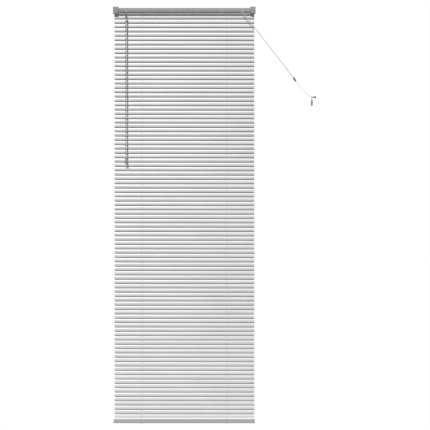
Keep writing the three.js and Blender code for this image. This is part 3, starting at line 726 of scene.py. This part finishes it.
# %% Tassel
TASSEL_TOP = Vector((637.5, -20, -458)) * MM
tassel_profile = [
    (0, -38), (2.6, -38), (3.1, -37.6), (3.6, -36), (4.3, -31), (4.85, -25), (4.95, -21), (4.7, -17),
    (4.0, -12), (3.0, -7), (2.3, -3.5), (1.95, -1.2), (1.7, -0.3), (1.4, 0), (0, 0),
]
tassel_rings = turned([(r * MM, h * MM) for r, h in tassel_profile], 36)
tassel_rings = [[TASSEL_TOP + Vector(p) for p in ring] for ring in tassel_rings]
tassel = piece(
    "pull_tassel", mesh_from([(tassel_rings, True)], "tassel"), GREY_PLASTIC, "root",
    ["tassel"],
)
print("tassel", -tassel_profile[0][1], "mm")

# %% [markdown]


# %% [markdown]
# ## How the curtain moves
# On the real blind the bottom rail gathers the slats one after another as it rises, while those above it
# stay where they are, and the tilt rod turns every slat on its ladder. No single body can carry that, so
# one Geometry Nodes tree moves the points: it reads how far the bottom rail has risen and how far the rod
# has turned. Each point knows its slat's middle (`pivot_y`, `pivot_z`), whether it turns with the slat
# (`turn`), and on which side of the slats its cord runs (`reach`, -1 in front and 1 behind).

# %% Sizes of the curtain
SLAT_COUNT = 93
SLAT_PITCH = 21.7 * MM
SLAT_WIDTH = 25 * MM
SLAT_LENGTH = 700 * MM
SLAT_CROWN = 2.2 * MM
SLAT_THICKNESS = 0.3 * MM
CLOSED_ANGLE = math.radians(70)
CURTAIN_Y = -14.5 * MM
SLATS_IN_FIRST_GROUP = 6
EDGE_DROP = 12.722 * MM
FIRST_SLAT_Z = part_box("slat_group_01")[0].z + EDGE_DROP + (SLATS_IN_FIRST_GROUP - 1) * SLAT_PITCH
RAIL_TOP_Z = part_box("bottom_rail")[1].z
LIFT_TRAVEL = 1.8
STACK_TOP_Z = FIRST_SLAT_Z
GATHER_LEAD = 14 * MM
STACK_SHARE = (STACK_TOP_Z - RAIL_TOP_Z - LIFT_TRAVEL) / (FIRST_SLAT_Z - RAIL_TOP_Z)
print("first slat", round(FIRST_SLAT_Z, 5), "stacked pitch", round(STACK_SHARE * SLAT_PITCH * 1000, 2), "mm")


# %% [markdown]
# One Geometry Nodes tree moves the whole curtain. It reads how far the tilt rod has turned and how high
# the bottom rail has risen. Slats turn with the rod. They lie flat just before the rising stack reaches
# them, and the top one stays at its own height, so that the stack never meets the head rail. The cords
# spread with the slats' edges and follow their bow. Keyframes on 93 slats would do the same for one
# movement only.

# %% The moving tree
def curtain_motion():
    tree = bpy.data.node_groups.new("gather_and_tilt", "GeometryNodeTree")
    tree.interface.new_socket("Geometry", in_out="INPUT", socket_type="NodeSocketGeometry")
    tree.interface.new_socket("Geometry", in_out="OUTPUT", socket_type="NodeSocketGeometry")
    given, put = tree.nodes.new("NodeGroupInput"), tree.nodes.new("NodeGroupOutput")

    def sum_of(a, b):
        return math_node(tree, "ADD", a, b)

    def less(a, b):
        return math_node(tree, "SUBTRACT", a, b)

    def times(a, b):
        return math_node(tree, "MULTIPLY", a, b)

    def point(name):
        node = tree.nodes.new("GeometryNodeInputNamedAttribute")
        node.data_type = "FLOAT"
        node.inputs["Name"].default_value = name
        return node.outputs["Attribute"]

    def body(name):
        node = tree.nodes.new("GeometryNodeObjectInfo")
        node.inputs["Object"].default_value = frame["bodies"][name]
        return node.outputs

    def parts(vector):
        node = tree.nodes.new("ShaderNodeSeparateXYZ")
        tree.links.new(vector, node.inputs[0])
        return node.outputs

    euler = tree.nodes.new("FunctionNodeRotationToEuler")
    tree.links.new(body("tilt_rod")["Rotation"], euler.inputs[0])
    rod_turn = parts(euler.outputs[0])["X"]
    risen = parts(body("bottom_rail")["Location"])["Z"]

    place = parts(tree.nodes.new("GeometryNodeInputPosition").outputs[0])
    pivot_y, pivot_z, turn, reach = (point(n) for n in ("pivot_y", "pivot_z", "turn", "reach"))
    height = sum_of(place["Z"], times(less(pivot_z, place["Z"]), turn))
    stacked = sum_of(sum_of(times(less(height, RAIL_TOP_Z), STACK_SHARE), RAIL_TOP_Z), risen)
    level = math_node(tree, "MAXIMUM", height, stacked)
    ahead = sum_of(less(stacked, height), times(turn, GATHER_LEAD))
    gathered = math_node(tree, "DIVIDE", ahead, GATHER_LEAD, clamp=True)
    angle = times(sum_of(rod_turn, CLOSED_ANGLE), less(1.0, gathered))
    change = less(angle, CLOSED_ANGLE)
    cos, sin = math_node(tree, "COSINE", change), math_node(tree, "SINE", change)
    out_y, out_z = less(place["Y"], pivot_y), less(place["Z"], pivot_z)
    turned_y = sum_of(pivot_y, less(times(out_y, cos), times(out_z, sin)))
    turned_z = sum_of(level, sum_of(times(out_y, sin), times(out_z, cos)))
    spread = times(less(math_node(tree, "COSINE", angle), math.cos(CLOSED_ANGLE)), SLAT_WIDTH / 2)
    bow = times(less(math_node(tree, "SINE", angle), math.sin(CLOSED_ANGLE)), SLAT_CROWN / 2)
    cord_y = sum_of(place["Y"], sum_of(times(reach, spread), times(times(reach, reach), bow)))
    new = tree.nodes.new("ShaderNodeCombineXYZ")
    tree.links.new(place["X"], new.inputs[0])
    tree.links.new(sum_of(cord_y, times(less(turned_y, cord_y), turn)), new.inputs[1])
    tree.links.new(sum_of(level, times(less(turned_z, level), turn)), new.inputs[2])
    move = tree.nodes.new("GeometryNodeSetPosition")
    tree.links.new(given.outputs[0], move.inputs["Geometry"])
    tree.links.new(new.outputs[0], move.inputs["Position"])
    tree.links.new(move.outputs[0], put.inputs[0])
    return tree


MOTION = curtain_motion()


def moves_with_curtain(obj, turn, reach, pivots=None):
    """pivots: one slat height for each point, for the points that turn."""
    count = len(obj.data.vertices)
    values = {
        "turn": [turn] * count,
        "reach": [reach] * count,
        "pivot_y": [CURTAIN_Y] * count,
        "pivot_z": pivots or [0.0] * count,
    }
    for name, numbers in values.items():
        obj.data.attributes.new(name, "FLOAT", "POINT").data.foreach_set("value", numbers)
    modifier = obj.modifiers.new("gather_and_tilt", "NODES")
    modifier.node_group = MOTION
    return obj


print("motion tree has", len(MOTION.nodes), "nodes")

# %% [markdown]
# ## Slats
# A slat is a strip of 25 mm aluminium, rolled into a shallow arch so that it stays straight between its
# ladders, with its corners cut round. The arch is drawn across the strip with 14 steps, and the strip is
# narrowed over the last few millimetres for the round corners. No two slats hang quite alike, so each
# gets a small turn, height and twist of its own from a seeded generator.

# %% Slats
SLAT_STEPS = 14
CORNER = 3.5 * MM
shuffle = random.Random(93)


def slat_point(x, across, outward, middle_z, angle):
    arch = SLAT_CROWN * (0.5 - (2 * across / SLAT_WIDTH) ** 2) + outward
    y = CURTAIN_Y - across * math.cos(angle) - arch * math.sin(angle)
    z = middle_z - across * math.sin(angle) + arch * math.cos(angle)
    return (x, y, z)


def slat_mesh(name, middle_z, angle, twist, shift):
    half = SLAT_LENGTH / 2
    ends = [CORNER * (1 - math.cos(math.pi / 2 * k / 5)) for k in range(6)]
    middles = [-0.25, -0.125, 0, 0.125, 0.25]
    stations = [-half + e for e in ends] + [SLAT_LENGTH * m for m in middles]
    stations += [half - e for e in reversed(ends)]
    rings = []
    for x in stations:
        from_end = min(half - abs(x), CORNER)
        narrow = CORNER - math.sqrt(CORNER**2 - (CORNER - from_end) ** 2)
        half_width = SLAT_WIDTH / 2 - narrow
        turn = angle + twist * x / half
        across = [half_width * (2 * k / SLAT_STEPS - 1) for k in range(SLAT_STEPS + 1)]
        top = [slat_point(x + shift, u, SLAT_THICKNESS / 2, middle_z, turn) for u in across]
        under = [slat_point(x + shift, u, -SLAT_THICKNESS / 2, middle_z, turn) for u in reversed(across)]
        rings.append(top + under)
    return mesh_from([(rings, False)], name)


groups = sorted(n for n in frame["nodes"] if n.startswith("slat_group_"))
GROUP_COUNT = len(groups)
slats = []
for i in range(SLAT_COUNT):
    middle = FIRST_SLAT_Z - i * SLAT_PITCH
    angle = CLOSED_ANGLE + math.radians(shuffle.uniform(-0.5, 0.5))
    twist = math.radians(shuffle.uniform(-0.35, 0.35))
    height = middle + shuffle.uniform(-0.12, 0.12) * MM
    mesh = slat_mesh(f"slat_{i + 1:02d}", height, angle, twist, shuffle.uniform(-0.25, 0.25) * MM)
    slat = piece(f"slat_{i + 1:02d}", mesh, SLAT)
    moves_with_curtain(slat, 1.0, 0.0, [height] * len(mesh.vertices))
    if groups and i == round((GROUP_COUNT - len(groups)) * SLAT_COUNT / GROUP_COUNT):
        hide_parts(groups.pop(0))
    slats.append(slat)
print(len(slats), "slats; CAD groups left:", groups)

# %% [markdown]
# ## Ladders and lift cords
# Each ladder is two thin cords, one in front of the slats and one behind, with a rung under every slat.
# They hold the pitch and turn the slats. A lift cord runs down behind the slats at each ladder to the
# bottom rail. All of them are tubes along straight or slightly arched lines, and the curtain's tree moves
# them with the slats.

# %% Ladders and lift cords
LADDER_X = 212 * MM
FRONT_CORD_Y = -17.99 * MM
LADDER_CORD_RADIUS = 0.5 * MM
RUNG_RADIUS = 0.3 * MM
CORD_TOP_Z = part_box("ladder_cord_back_left")[1].z
CORD_BOTTOM_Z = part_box("ladder_cord_back_left")[0].z
BACK_CORD_Y = sum(c.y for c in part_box("ladder_cord_back_left")) / 2
lift_low, lift_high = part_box("lift_cord_right")
LIFT_CORD = ((lift_low + lift_high) / 2, (lift_high.x - lift_low.x) / 2 - 0.05 * MM)


def upright(x, y, radius):
    steps = 4 * SLAT_COUNT
    heights = [CORD_TOP_Z + (CORD_BOTTOM_Z - CORD_TOP_Z) * k / steps for k in range(steps + 1)]
    return (tube([(x, y, z) for z in heights], radius, 10), False)


def rungs(x):
    """The rungs of one ladder, and the slat height that each of their points belongs to."""
    skins, pivots = [], []
    reach = SLAT_WIDTH / 2
    below = -SLAT_THICKNESS / 2 - RUNG_RADIUS - 0.15 * MM
    for i in range(SLAT_COUNT):
        middle = FIRST_SLAT_Z - i * SLAT_PITCH
        across = [reach * (2 * k / 8 - 1) for k in range(9)]
        line = [slat_point(x, u, below, middle, CLOSED_ANGLE) for u in across]
        rings = tube(line, RUNG_RADIUS, 6)
        skins.append((rings, False))
        pivots += [middle] * (len(rings) * 6)
    return mesh_from(skins, "rungs"), pivots


for side, sign in SIDES.items():
    x = sign * LADDER_X
    mesh = mesh_from([upright(x, FRONT_CORD_Y, LADDER_CORD_RADIUS)], "f")
    front = piece(f"ladder_front_{side}", mesh, CORD)
    moves_with_curtain(front, 0.0, -1.0)
    mesh = mesh_from([upright(x, BACK_CORD_Y, LADDER_CORD_RADIUS)], "b")
    back = piece(f"ladder_back_{side}", mesh, CORD, "root", [f"ladder_cord_back_{side}"])
    moves_with_curtain(back, 0.0, 1.0)
    rung_mesh, pivots = rungs(x)
    steps = piece(f"ladder_rungs_{side}", rung_mesh, CORD)
    moves_with_curtain(steps, 1.0, 0.0, pivots)
    middle, radius = LIFT_CORD
    mesh = mesh_from([upright(sign * middle.x, middle.y, radius)], "l")
    lift = piece(f"lifting_cord_{side}", mesh, CORD, "root", [f"lift_cord_{side}"])
    moves_with_curtain(lift, 0.0, 1.0)
print("ladders at", round(LADDER_X * 1000, 1), "mm; back cord y", round(BACK_CORD_Y * 1000, 2), "mm")

# %% [markdown]
# ## Head rail
# The head rail is one strip of painted steel, folded into an open box. Its front has a pressed groove for
# stiffness and a small slope at its foot. The band under the groove is painted dark with one more material
# as painted shade, and the foot is painted bright with the slat enamel as a painted highlight. The folds are
# drawn with their true inner radius, then the openings are cut: two slots in the floor for the ladders, a
# window for the cord lock, and a slanted hole for the worm's shaft.

# %% Head rail
rail_low, rail_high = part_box("headrail_channel")
SHEET = 0.8 * MM
front, back = rail_low.y + SHEET / 2, rail_high.y - SHEET / 2
floor, top = rail_low.z + SHEET / 2, rail_high.z - SHEET / 2
GROOVE_Z = rail_low.z + 7.5 * MM
GROOVE_DEPTH = 1.4 * MM
LIP = 4 * MM
rail_line = open_fillet(
    [
        (back - LIP, top, 0), (back, top, 1 * MM), (back, floor, 1 * MM), (front + 2 * MM, floor, 1 * MM),
        (front, floor + 2 * MM, 1 * MM), (front, GROOVE_Z - 1.6 * MM, 0.6 * MM),
        (front + GROOVE_DEPTH, GROOVE_Z - 0.6 * MM, 0.5 * MM),
        (front + GROOVE_DEPTH, GROOVE_Z + 0.6 * MM, 0.5 * MM),
        (front, GROOVE_Z + 1.6 * MM, 0.6 * MM), (front, top, 1 * MM), (front + LIP, top, 0),
    ]
)
channel = mesh_from([prism("x", strip(rail_line, SHEET), rail_low.x, rail_high.x)], "channel")
WORM_LEAN = math.radians(38)
WORM_MIDDLE = Vector((-290, -21.04, -16.39)) * MM
WORM_AXIS = Vector((0, -math.sin(WORM_LEAN), -math.cos(WORM_LEAN)))
worm_hole = (tube([WORM_MIDDLE + WORM_AXIS * d * MM for d in (5, 20)], 3.5 * MM, 40), False)
window_outline = rectangle(283 * MM, 297 * MM, -29.8 * MM, -20.8 * MM, 0.8 * MM)
lock_window = prism("y", window_outline, -29 * MM, -24.8 * MM)
floor_slots = [
    prism("z", rectangle(min(a, b), max(a, b), -21.54 * MM, -5.19 * MM, 1.5 * MM), -34.1 * MM, -31.3 * MM)
    for a, b in ((s * 208.5 * MM, s * 218.5 * MM) for s in SIDES.values())
]
channel = combine(channel, "DIFFERENCE", worm_hole, lock_window, *floor_slots)
piece("head_rail", channel, RAIL, "root", ["headrail_channel"])
# Painted shade and painted highlight: front faces between the foot and the groove get the near-black
# material, and front faces at the foot get the bright slat enamel, as if lit from above.
PAINTED_SHADE_TOP, PAINTED_HIGHLIGHT_TOP = GROOVE_Z - 1.5 * MM, floor + 1.7 * MM
for extra in (RAIL_PAINTED_SHADE, SLAT):
    channel.materials.append(extra)
for polygon in channel.polygons:
    if polygon.normal.y < -0.3 and polygon.center.y < front + 3 * MM:
        if polygon.center.z < PAINTED_HIGHLIGHT_TOP:
            polygon.material_index = 2
        elif polygon.center.z < PAINTED_SHADE_TOP:
            polygon.material_index = 1
print("head rail", len(channel.polygons), "faces")


# %% [markdown]
# ## End caps
# Moulded caps close both rails. Each is a plate the shape of the rail with softened edges, and a block
# behind it that plugs into the rail. The right-hand ones are made first, and the left-hand ones are their
# mirror images.

# %% Mirror helper and end caps
def sided(mesh, side):
    """The mesh as it is for the right, or mirrored for the left."""
    if side == "left":
        mesh.transform(Matrix.Scale(-1, 4, (1, 0, 0)))
        mesh.flip_normals()
    return mesh


def end_cap(node, corner, plate_thickness, plug_inset, plug_depth):
    low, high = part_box(node)
    plate = prism(
        "x", rectangle(low.y, high.y, low.z, high.z, corner), high.x - plate_thickness, high.x, 0.45 * MM
    )
    plug = prism(
        "x",
        rectangle(
            low.y + plug_inset[0], high.y - plug_inset[1],
            low.z + plug_inset[2], high.z - plug_inset[3], 0.8 * MM,
        ),
        high.x - plate_thickness - plug_depth,
        high.x - plate_thickness / 2,
        0.3 * MM,
    )
    return combine(mesh_from([plate], "cap"), "UNION", plug)


for side in SIDES:
    mesh = end_cap(
        "headrail_end_cap_right", 2 * MM, 1.5 * MM, (2.6 * MM, 1.2 * MM, 1.2 * MM, 6 * MM), 8 * MM
    )
    node = f"headrail_end_cap_{side}"
    piece(f"head_rail_cap_{side}", sided(mesh, side), GREY_PLASTIC, "root", [node])
    mesh = end_cap("bottom_rail_cap_right", 3.5 * MM, 2 * MM, (2.2 * MM,) * 4, 10 * MM)
    piece(
        f"bottom_cap_{side}", sided(mesh, side), GREY_PLASTIC, "bottom_rail",
        [f"bottom_rail_cap_{side}"],
    )


# %% [markdown]
# ## Box brackets
# A box bracket holds each end of the head rail: a folded steel shell with a side plate, and a gate in
# front that swings up on a pin so that the rail can be lifted in. The shell is a bent strip, and the
# plate, the hinge knuckles and their webs are joined on before the pin bore and the two screw holes are
# cut through all of them.

# %% Bracket shells
bracket_low, bracket_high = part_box("bracket_right")
gate_low, gate_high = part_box("bracket_gate_right")
BRACKET_SHEET = 1.2 * MM
KNUCKLE_RADIUS = 2 * MM
PIN_BORE = 1.2 * MM
KNUCKLE_Y = gate_low.y + KNUCKLE_RADIUS
KNUCKLE_Z = -2.7 * MM
SCREW_HEIGHTS = {"upper": -11 * MM, "lower": -25 * MM}
SCREW_X = (bracket_low.x + bracket_high.x) / 2
knuckle_ends = [
    (bracket_low.x + 0.5 * MM, bracket_low.x + 6.4 * MM),
    (bracket_high.x - 7.4 * MM, bracket_high.x - BRACKET_SHEET),
]


def bracket_shell():
    half = BRACKET_SHEET / 2
    bend = 1.4 * MM
    line = open_fillet(
        [
            (gate_low.y + 3.5 * MM, bracket_low.z + half, 0), (-half, bracket_low.z + half, bend),
            (-half, -half, bend), (gate_low.y + 4.6 * MM, -half, 0),
        ]
    )
    wall = prism("x", strip(line, BRACKET_SHEET), bracket_low.x, bracket_high.x - half)
    shell = mesh_from([wall], "bracket")
    side_plate = prism(
        "x", rectangle(gate_low.y + 1.6 * MM, 0, bracket_low.z, 0, 1.6 * MM), bracket_high.x - BRACKET_SHEET,
        bracket_high.x, 0.2 * MM,
    )
    adds = [side_plate]
    for x0, x1 in knuckle_ends:
        adds.append(prism("x", circle(KNUCKLE_Y, KNUCKLE_Z, KNUCKLE_RADIUS), x0, x1))
        adds.append(prism("x", rectangle(KNUCKLE_Y, gate_low.y + 4.8 * MM, -1.9 * MM, -0.8 * MM), x0, x1))
    shell = combine(shell, "UNION", *adds)
    bore = prism(
        "x", circle(KNUCKLE_Y, KNUCKLE_Z, PIN_BORE), bracket_low.x - MM, bracket_high.x - BRACKET_SHEET / 2
    )
    holes = [prism("y", circle(SCREW_X, z, 2.5 * MM), -3 * MM, 1 * MM) for z in SCREW_HEIGHTS.values()]
    return combine(shell, "DIFFERENCE", bore, *holes)


def bracket_gate():
    chamfer = 7 * MM
    top = KNUCKLE_Z - KNUCKLE_RADIUS - 0.2 * MM
    outline = fillet(
        [
            (gate_low.x, top, 0.8 * MM), (gate_low.x, gate_low.z + chamfer, 1.5 * MM),
            (gate_low.x + chamfer, gate_low.z, 1.5 * MM), (gate_high.x, gate_low.z, 1.2 * MM),
            (gate_high.x, top, 0.8 * MM),
        ]
    )
    plate = mesh_from([prism("y", outline, gate_low.y, gate_low.y + BRACKET_SHEET, 0.3 * MM)], "gate")
    x0, x1 = knuckle_ends[0][1] + 0.3 * MM, knuckle_ends[1][0] - 0.3 * MM
    knuckle = prism("x", circle(KNUCKLE_Y, KNUCKLE_Z, KNUCKLE_RADIUS), x0, x1)
    web = prism("x", rectangle(gate_low.y + 0.1 * MM, gate_low.y + 1.1 * MM, top - 1 * MM, KNUCKLE_Z), x0, x1)
    plate = combine(plate, "UNION", knuckle, web)
    return combine(plate, "DIFFERENCE", prism("x", circle(KNUCKLE_Y, KNUCKLE_Z, PIN_BORE), x0 - MM, x1 + MM))


for side in SIDES:
    shell = sided(bracket_shell(), side)
    piece(f"box_bracket_{side}", shell, BRACKET, "root", [f"bracket_{side}"])
    gate = sided(bracket_gate(), side)
    piece(f"gate_{side}", gate, BRACKET, f"gate_{side}", [f"bracket_gate_{side}"])
print("bracket", len(shell.polygons), "faces, gate", len(gate.polygons), "faces")

# %% [markdown]
# Two pan-head screws hold each bracket. The head is turned with a domed edge, and the cross recess is two
# bars cut into it.

# %% Bracket screws
def screw(low, high):
    centre = (low + high) / 2
    back = high.y
    head_back = low.y + 1.2 * MM
    radius = (high.x - low.x) / 2
    shank = 1.9 * MM
    profile = [
        (0, 0), (shank - 0.3 * MM, 0), (shank, 0.3 * MM), (shank, back - head_back),
        (radius, back - head_back),
        (radius, back - head_back + 0.4 * MM), (radius * 0.93, back - low.y - 0.35 * MM),
        (radius * 0.74, back - low.y - 0.1 * MM), (radius * 0.4, back - low.y), (0, back - low.y),
    ]
    rings = [[(centre.x + x, back - h, centre.z + z) for x, z, h in ring] for ring in turned(profile, 36)]
    mesh = mesh_from([(rings, True)], "screw")
    wide, thin, deep = 2 * MM, 0.35 * MM, 0.6 * MM
    bars = []
    for a, b in ((wide, thin), (thin, wide)):
        outline = rectangle(centre.x - a, centre.x + a, centre.z - b, centre.z + b)
        bars.append(prism("y", outline, low.y - MM, low.y + deep))
    return combine(mesh, "DIFFERENCE", *bars)


for side in SIDES:
    for level in SCREW_HEIGHTS:
        node = f"bracket_screw_{side}_{level}"
        piece(f"pan_screw_{side}_{level}", screw(*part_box(node)), ZINC, "root", [node])

# %% [markdown]
# ## Bottom rail
# The bottom rail is a hollow rolled section, heavy enough to keep the cords tight. Under each ladder a
# round button plugs the hole in which the cords are knotted.

# %% Bottom rail and buttons
low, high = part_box("bottom_rail")
WALL = 1.2 * MM
rail = mesh_from([prism("x", rectangle(low.y, high.y, low.z, high.z, 3.5 * MM), low.x, high.x)], "bottom")
hollow = prism(
    "x",
    rectangle(low.y + WALL, high.y - WALL, low.z + WALL, high.z - WALL, 2.3 * MM),
    low.x - MM,
    high.x + MM,
)
button_holes = [
    prism("z", circle(s * LADDER_X, CURTAIN_Y, 2.9 * MM), low.z - MM, low.z + 2 * MM)
    for s in SIDES.values()
]
rail = combine(rail, "DIFFERENCE", hollow, *button_holes)
piece("weighted_rail", rail, RAIL, "bottom_rail", ["bottom_rail"])


def rail_button(low, high):
    radius, stem = (high.x - low.x) / 2, 2.6 * MM
    tall = high.z - low.z
    profile = [
        (0, 0), (radius * 0.5, 0.05 * MM), (radius - 1.1 * MM, 0.25 * MM), (radius - 0.4 * MM, 0.7 * MM),
        (radius, 1.3 * MM), (radius, 1.8 * MM), (radius - 0.2 * MM, 2 * MM), (stem, 2 * MM),
        (stem, tall - 0.5 * MM), (stem - 0.5 * MM, tall), (0, tall),
    ]
    middle = Vector(((low.x + high.x) / 2, (low.y + high.y) / 2, low.z))
    return mesh_from([([[middle + Vector(p) for p in ring] for ring in turned(profile, 36)], True)], "button")


for side in SIDES:
    node = f"rail_button_{side}"
    mesh = rail_button(*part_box(node))
    piece(f"knot_button_{side}", mesh, GREY_PLASTIC, "bottom_rail", [node])


print("bottom rail", len(rail.polygons), "faces")

# %% [markdown]
# ## Tilt wand
# The wand is a clear hexagonal rod. A wire link joins the worm's eye to a wire hook, the hook runs into a
# sleeve on top of the rod, and a grip caps the foot. The rod's edges are slightly round, which is what
# gives it its fine bright lines. Wire is a tube along a smooth line.

# %% Wand
wand_x = sum(c.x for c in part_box("wand_rod")) / 2
wand_y = sum(c.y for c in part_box("wand_rod")) / 2
WAND_RADIUS = 4.5 * MM
rod_low, rod_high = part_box("wand_rod")
SIXTH = math.pi / 3
hexagon = [
    (wand_x + WAND_RADIUS * math.cos(k * SIXTH), wand_y + WAND_RADIUS * math.sin(k * SIXTH), 0.8 * MM)
    for k in range(6)
]
mesh = mesh_from([prism("z", fillet(hexagon, 4), rod_low.z, rod_high.z, 0.4 * MM)], "rod")
piece("hexagonal_wand", mesh, ACRYLIC, "wand", ["wand_rod"])


def wand_part(name, node, profile):
    at = Vector((wand_x, wand_y, 0))
    rings = [[at + Vector(p) for p in ring] for ring in turned(profile, 40)]
    return piece(name, mesh_from([(rings, True)], name), ACRYLIC, "wand", [node])


low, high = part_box("wand_ferrule")
BORE = WAND_RADIUS + 0.3 * MM
outer = 5.4 * MM
wand_part(
    "wand_sleeve",
    "wand_ferrule",
    [
        (BORE, low.z), (outer - 0.3 * MM, low.z), (outer, low.z + 0.3 * MM), (outer, high.z - 2.8 * MM),
        (outer - 0.3 * MM, high.z - 2.0 * MM), (outer - 1.2 * MM, high.z - 0.7 * MM),
        (outer - 2.2 * MM, high.z),
        (0.9 * MM, high.z), (0.9 * MM, high.z - 2.4 * MM), (BORE, high.z - 2.4 * MM),
    ],
)
low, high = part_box("wand_grip")
outer = 5.8 * MM
grip_profile = [
    (0, low.z), (2.2 * MM, low.z), (3.4 * MM, low.z + 0.3 * MM), (outer - 0.7 * MM, low.z + 1.6 * MM),
]
for k in range(5):
    z = low.z + (3 + 2.4 * k) * MM
    grip_profile += [
        (outer, z), (outer, z + 1.3 * MM), (outer - 0.5 * MM, z + 1.6 * MM), (outer - 0.5 * MM, z + 2.1 * MM),
    ]
grip_profile += [
    (outer, low.z + 15.2 * MM), (outer, high.z - 6 * MM), (outer - 0.5 * MM, high.z - 1.5 * MM),
    (BORE + 0.2 * MM, high.z), (BORE, high.z), (BORE, rod_low.z - 0.3 * MM), (0, rod_low.z - 0.3 * MM),
]
wand_part("wand_handgrip", "wand_grip", grip_profile)
print("wand bore", round(BORE * 1000, 1), "mm")

# %% [markdown]
# A closed ring hangs in the worm's eye and a bent wire hook joins it to the wand. Both are round wire, so
# both are tubes.

# %% Link and hook
link_low, link_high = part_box("wand_link")
LINK_WIRE = 0.5 * MM
link_centre = (link_low + link_high) / 2
link_radius = (link_high.z - link_low.z) / 2 - LINK_WIRE
rings = []
for k in range(48):
    around = 2 * math.pi * k / 48
    out = Vector((math.cos(around), 0, math.sin(around)))
    angles = [2 * math.pi * j / 12 for j in range(12)]
    rings.append(
        [
            link_centre
            + out * (link_radius + LINK_WIRE * math.cos(a))
            + Vector((0, LINK_WIRE * math.sin(a), 0))
            for a in angles
        ]
    )
piece("wire_link", mesh_from([(rings, True)], "link"), ZINC, "wand", ["wand_link"])

HOOK_WIRE = 0.6 * MM
pin_z = link_centre.z - link_radius
sleeve_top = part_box("wand_ferrule")[1].z
hook_points = [
    (-2.2, -1.4), (-1.9, 0.7), (0, 2), (1.9, 0.7), (2.1, -1.8), (0.9, -4.4), (0, -6.6),
    (0, (sleeve_top - pin_z) / MM - 1.8),
]
hook_line = smooth_line([Vector((wand_x, wand_y + y * MM, pin_z + z * MM)) for y, z in hook_points], 8)
mesh = mesh_from([(tube(hook_line, HOOK_WIRE, 12), False)], "hook")
piece("wire_hook", mesh, ZINC, "wand", ["wand_hook"])
print("wand at", round(wand_x * 1000, 1), round(wand_y * 1000, 2))
print("rod", round((rod_high.z - rod_low.z) * 1000), "mm")

# %% [markdown]
# ## Wall hook
# The hook is a round boss with an arm that turns sideways and ends in a blunt tip. The cord lies over the
# arm. The boss is turned, the arm is a tube along a smooth line, and the two are joined into one solid.

# %% Wall hook
HOOK = Vector((655.5, 0, -451.5)) * MM
ARM_RADIUS = 2.4 * MM
boss_profile = [
    (0, 0), (4.7, 0), (5, 0.3), (5, 1.9), (4.75, 2.55), (4.2, 2.9), (3.4, 3.0), (0, 3.0),
]
boss_rings = [
    [HOOK + Vector((x, -h, z)) for x, z, h in ring]
    for ring in turned([(r * MM, h * MM) for r, h in boss_profile], 40)
]
arm_points = [
    (0, -2.5, 0), (0, -11, 0), (-1.4, -14.6, 0), (-5, -16, 0), (-15.5, -16, 0), (-19.5, -16, 0.2),
    (-21, -16, 0.8),
]
arm_line = smooth_line([HOOK + Vector(p) * MM for p in arm_points], 8)
arm_rings = tube(arm_line, ARM_RADIUS * 0.98, 20)
hook_mesh = combine(mesh_from([(boss_rings, True)], "wall_hook"), "UNION", (arm_rings, False))
piece("cord_hook", hook_mesh, DARK_PLASTIC, "root", ["wall_hook"])
print("wall hook at", [round(v * 1000, 1) for v in HOOK], "mm")

# %% [markdown]
# ## Inner fittings
# The rod, drums, cradles, worm, wheel, cord lock and hinge pins have their working shapes in the packed
# model already, so they stay, and only take the finish of their material.

# %% Finishes for the inner fittings
finish_of = {"steel": ZINC, "nylon": NYLON, "grey_plastic": GREY_PLASTIC, "dark_plastic": DARK_PLASTIC}
slot_of = {row["node"]: row["material_slot"] for row in frame["record"]["subparts"]}
kept = [name for name, node in frame["nodes"].items() if not node.hide_render]
for name in kept:
    node = frame["nodes"][name]
    node.data.materials.clear()
    node.data.materials.append(finish_of[slot_of[name]])
print("kept from the packed model:", sorted(kept))

# %% [markdown]
# ## Room and light
# A pale floor lies well below the blind. The background is white, and the light is one far sun light from
# above and a little to the left, with a small spread, which makes the upper part of each slat bright and
# leaves a thin shadow where the next slat hangs over it. The white background lights the scene less than it
# shows, so the shadows keep their depth.

# %% Floor, background and lights
FLOOR_Z = -2.45
floor_mesh = mesh_from([prism("z", rectangle(-3, 3, -2, 2, 0.2), FLOOR_Z - 0.02, FLOOR_Z, 0.005)], "floor")
floor_finish = finish(
    "studio_floor", ((0.74, 0.74, 0.73), (0.8, 0.8, 0.79)), ("skin", 40.0), (0.6, 0.8), (0.05, 0.001), {}
)
floor_piece = bpy.data.objects.new("studio_floor", smooth(floor_mesh))
bpy.context.scene.collection.objects.link(floor_piece)
floor_mesh.materials.append(floor_finish)

AMBIENT = 0.20
world = bpy.data.worlds.new("studio")
bpy.context.scene.world = world
world.use_nodes = True
tree = world.node_tree
shown = tree.nodes["Background"]
shown.inputs["Color"].default_value = (1, 1, 1, 1)
fill = tree.nodes.new("ShaderNodeBackground")
fill.inputs["Color"].default_value = (1, 1, 1, 1)
fill.inputs["Strength"].default_value = AMBIENT
rays = tree.nodes.new("ShaderNodeLightPath")
choose = tree.nodes.new("ShaderNodeMixShader")
tree.links.new(rays.outputs["Is Camera Ray"], choose.inputs[0])
tree.links.new(fill.outputs[0], choose.inputs[1])
tree.links.new(shown.outputs[0], choose.inputs[2])
tree.links.new(choose.outputs[0], tree.nodes["World Output"].inputs["Surface"])


def sun_light(name, elevation, from_left, spread, strength):
    """A far light: elevation above the level, turned to the left of straight ahead, both in degrees."""
    data = bpy.data.lights.new(name, "SUN")
    data.energy = strength
    data.angle = math.radians(spread)
    light = bpy.data.objects.new(name, data)
    bpy.context.scene.collection.objects.link(light)
    level = math.cos(math.radians(elevation))
    side = math.radians(from_left)
    towards = Vector((-level * math.sin(side), -level * math.cos(side), math.sin(math.radians(elevation))))
    light.rotation_euler = (-towards).to_track_quat("-Z", "Y").to_euler()
    return light


key = sun_light("key", 50, 18, 6, 2.25)
print("key light strength", round(key.data.energy, 2), "fill", AMBIENT)
bpy.context.scene.view_settings.view_transform = "Standard"
bpy.context.scene.view_settings.look = "None"
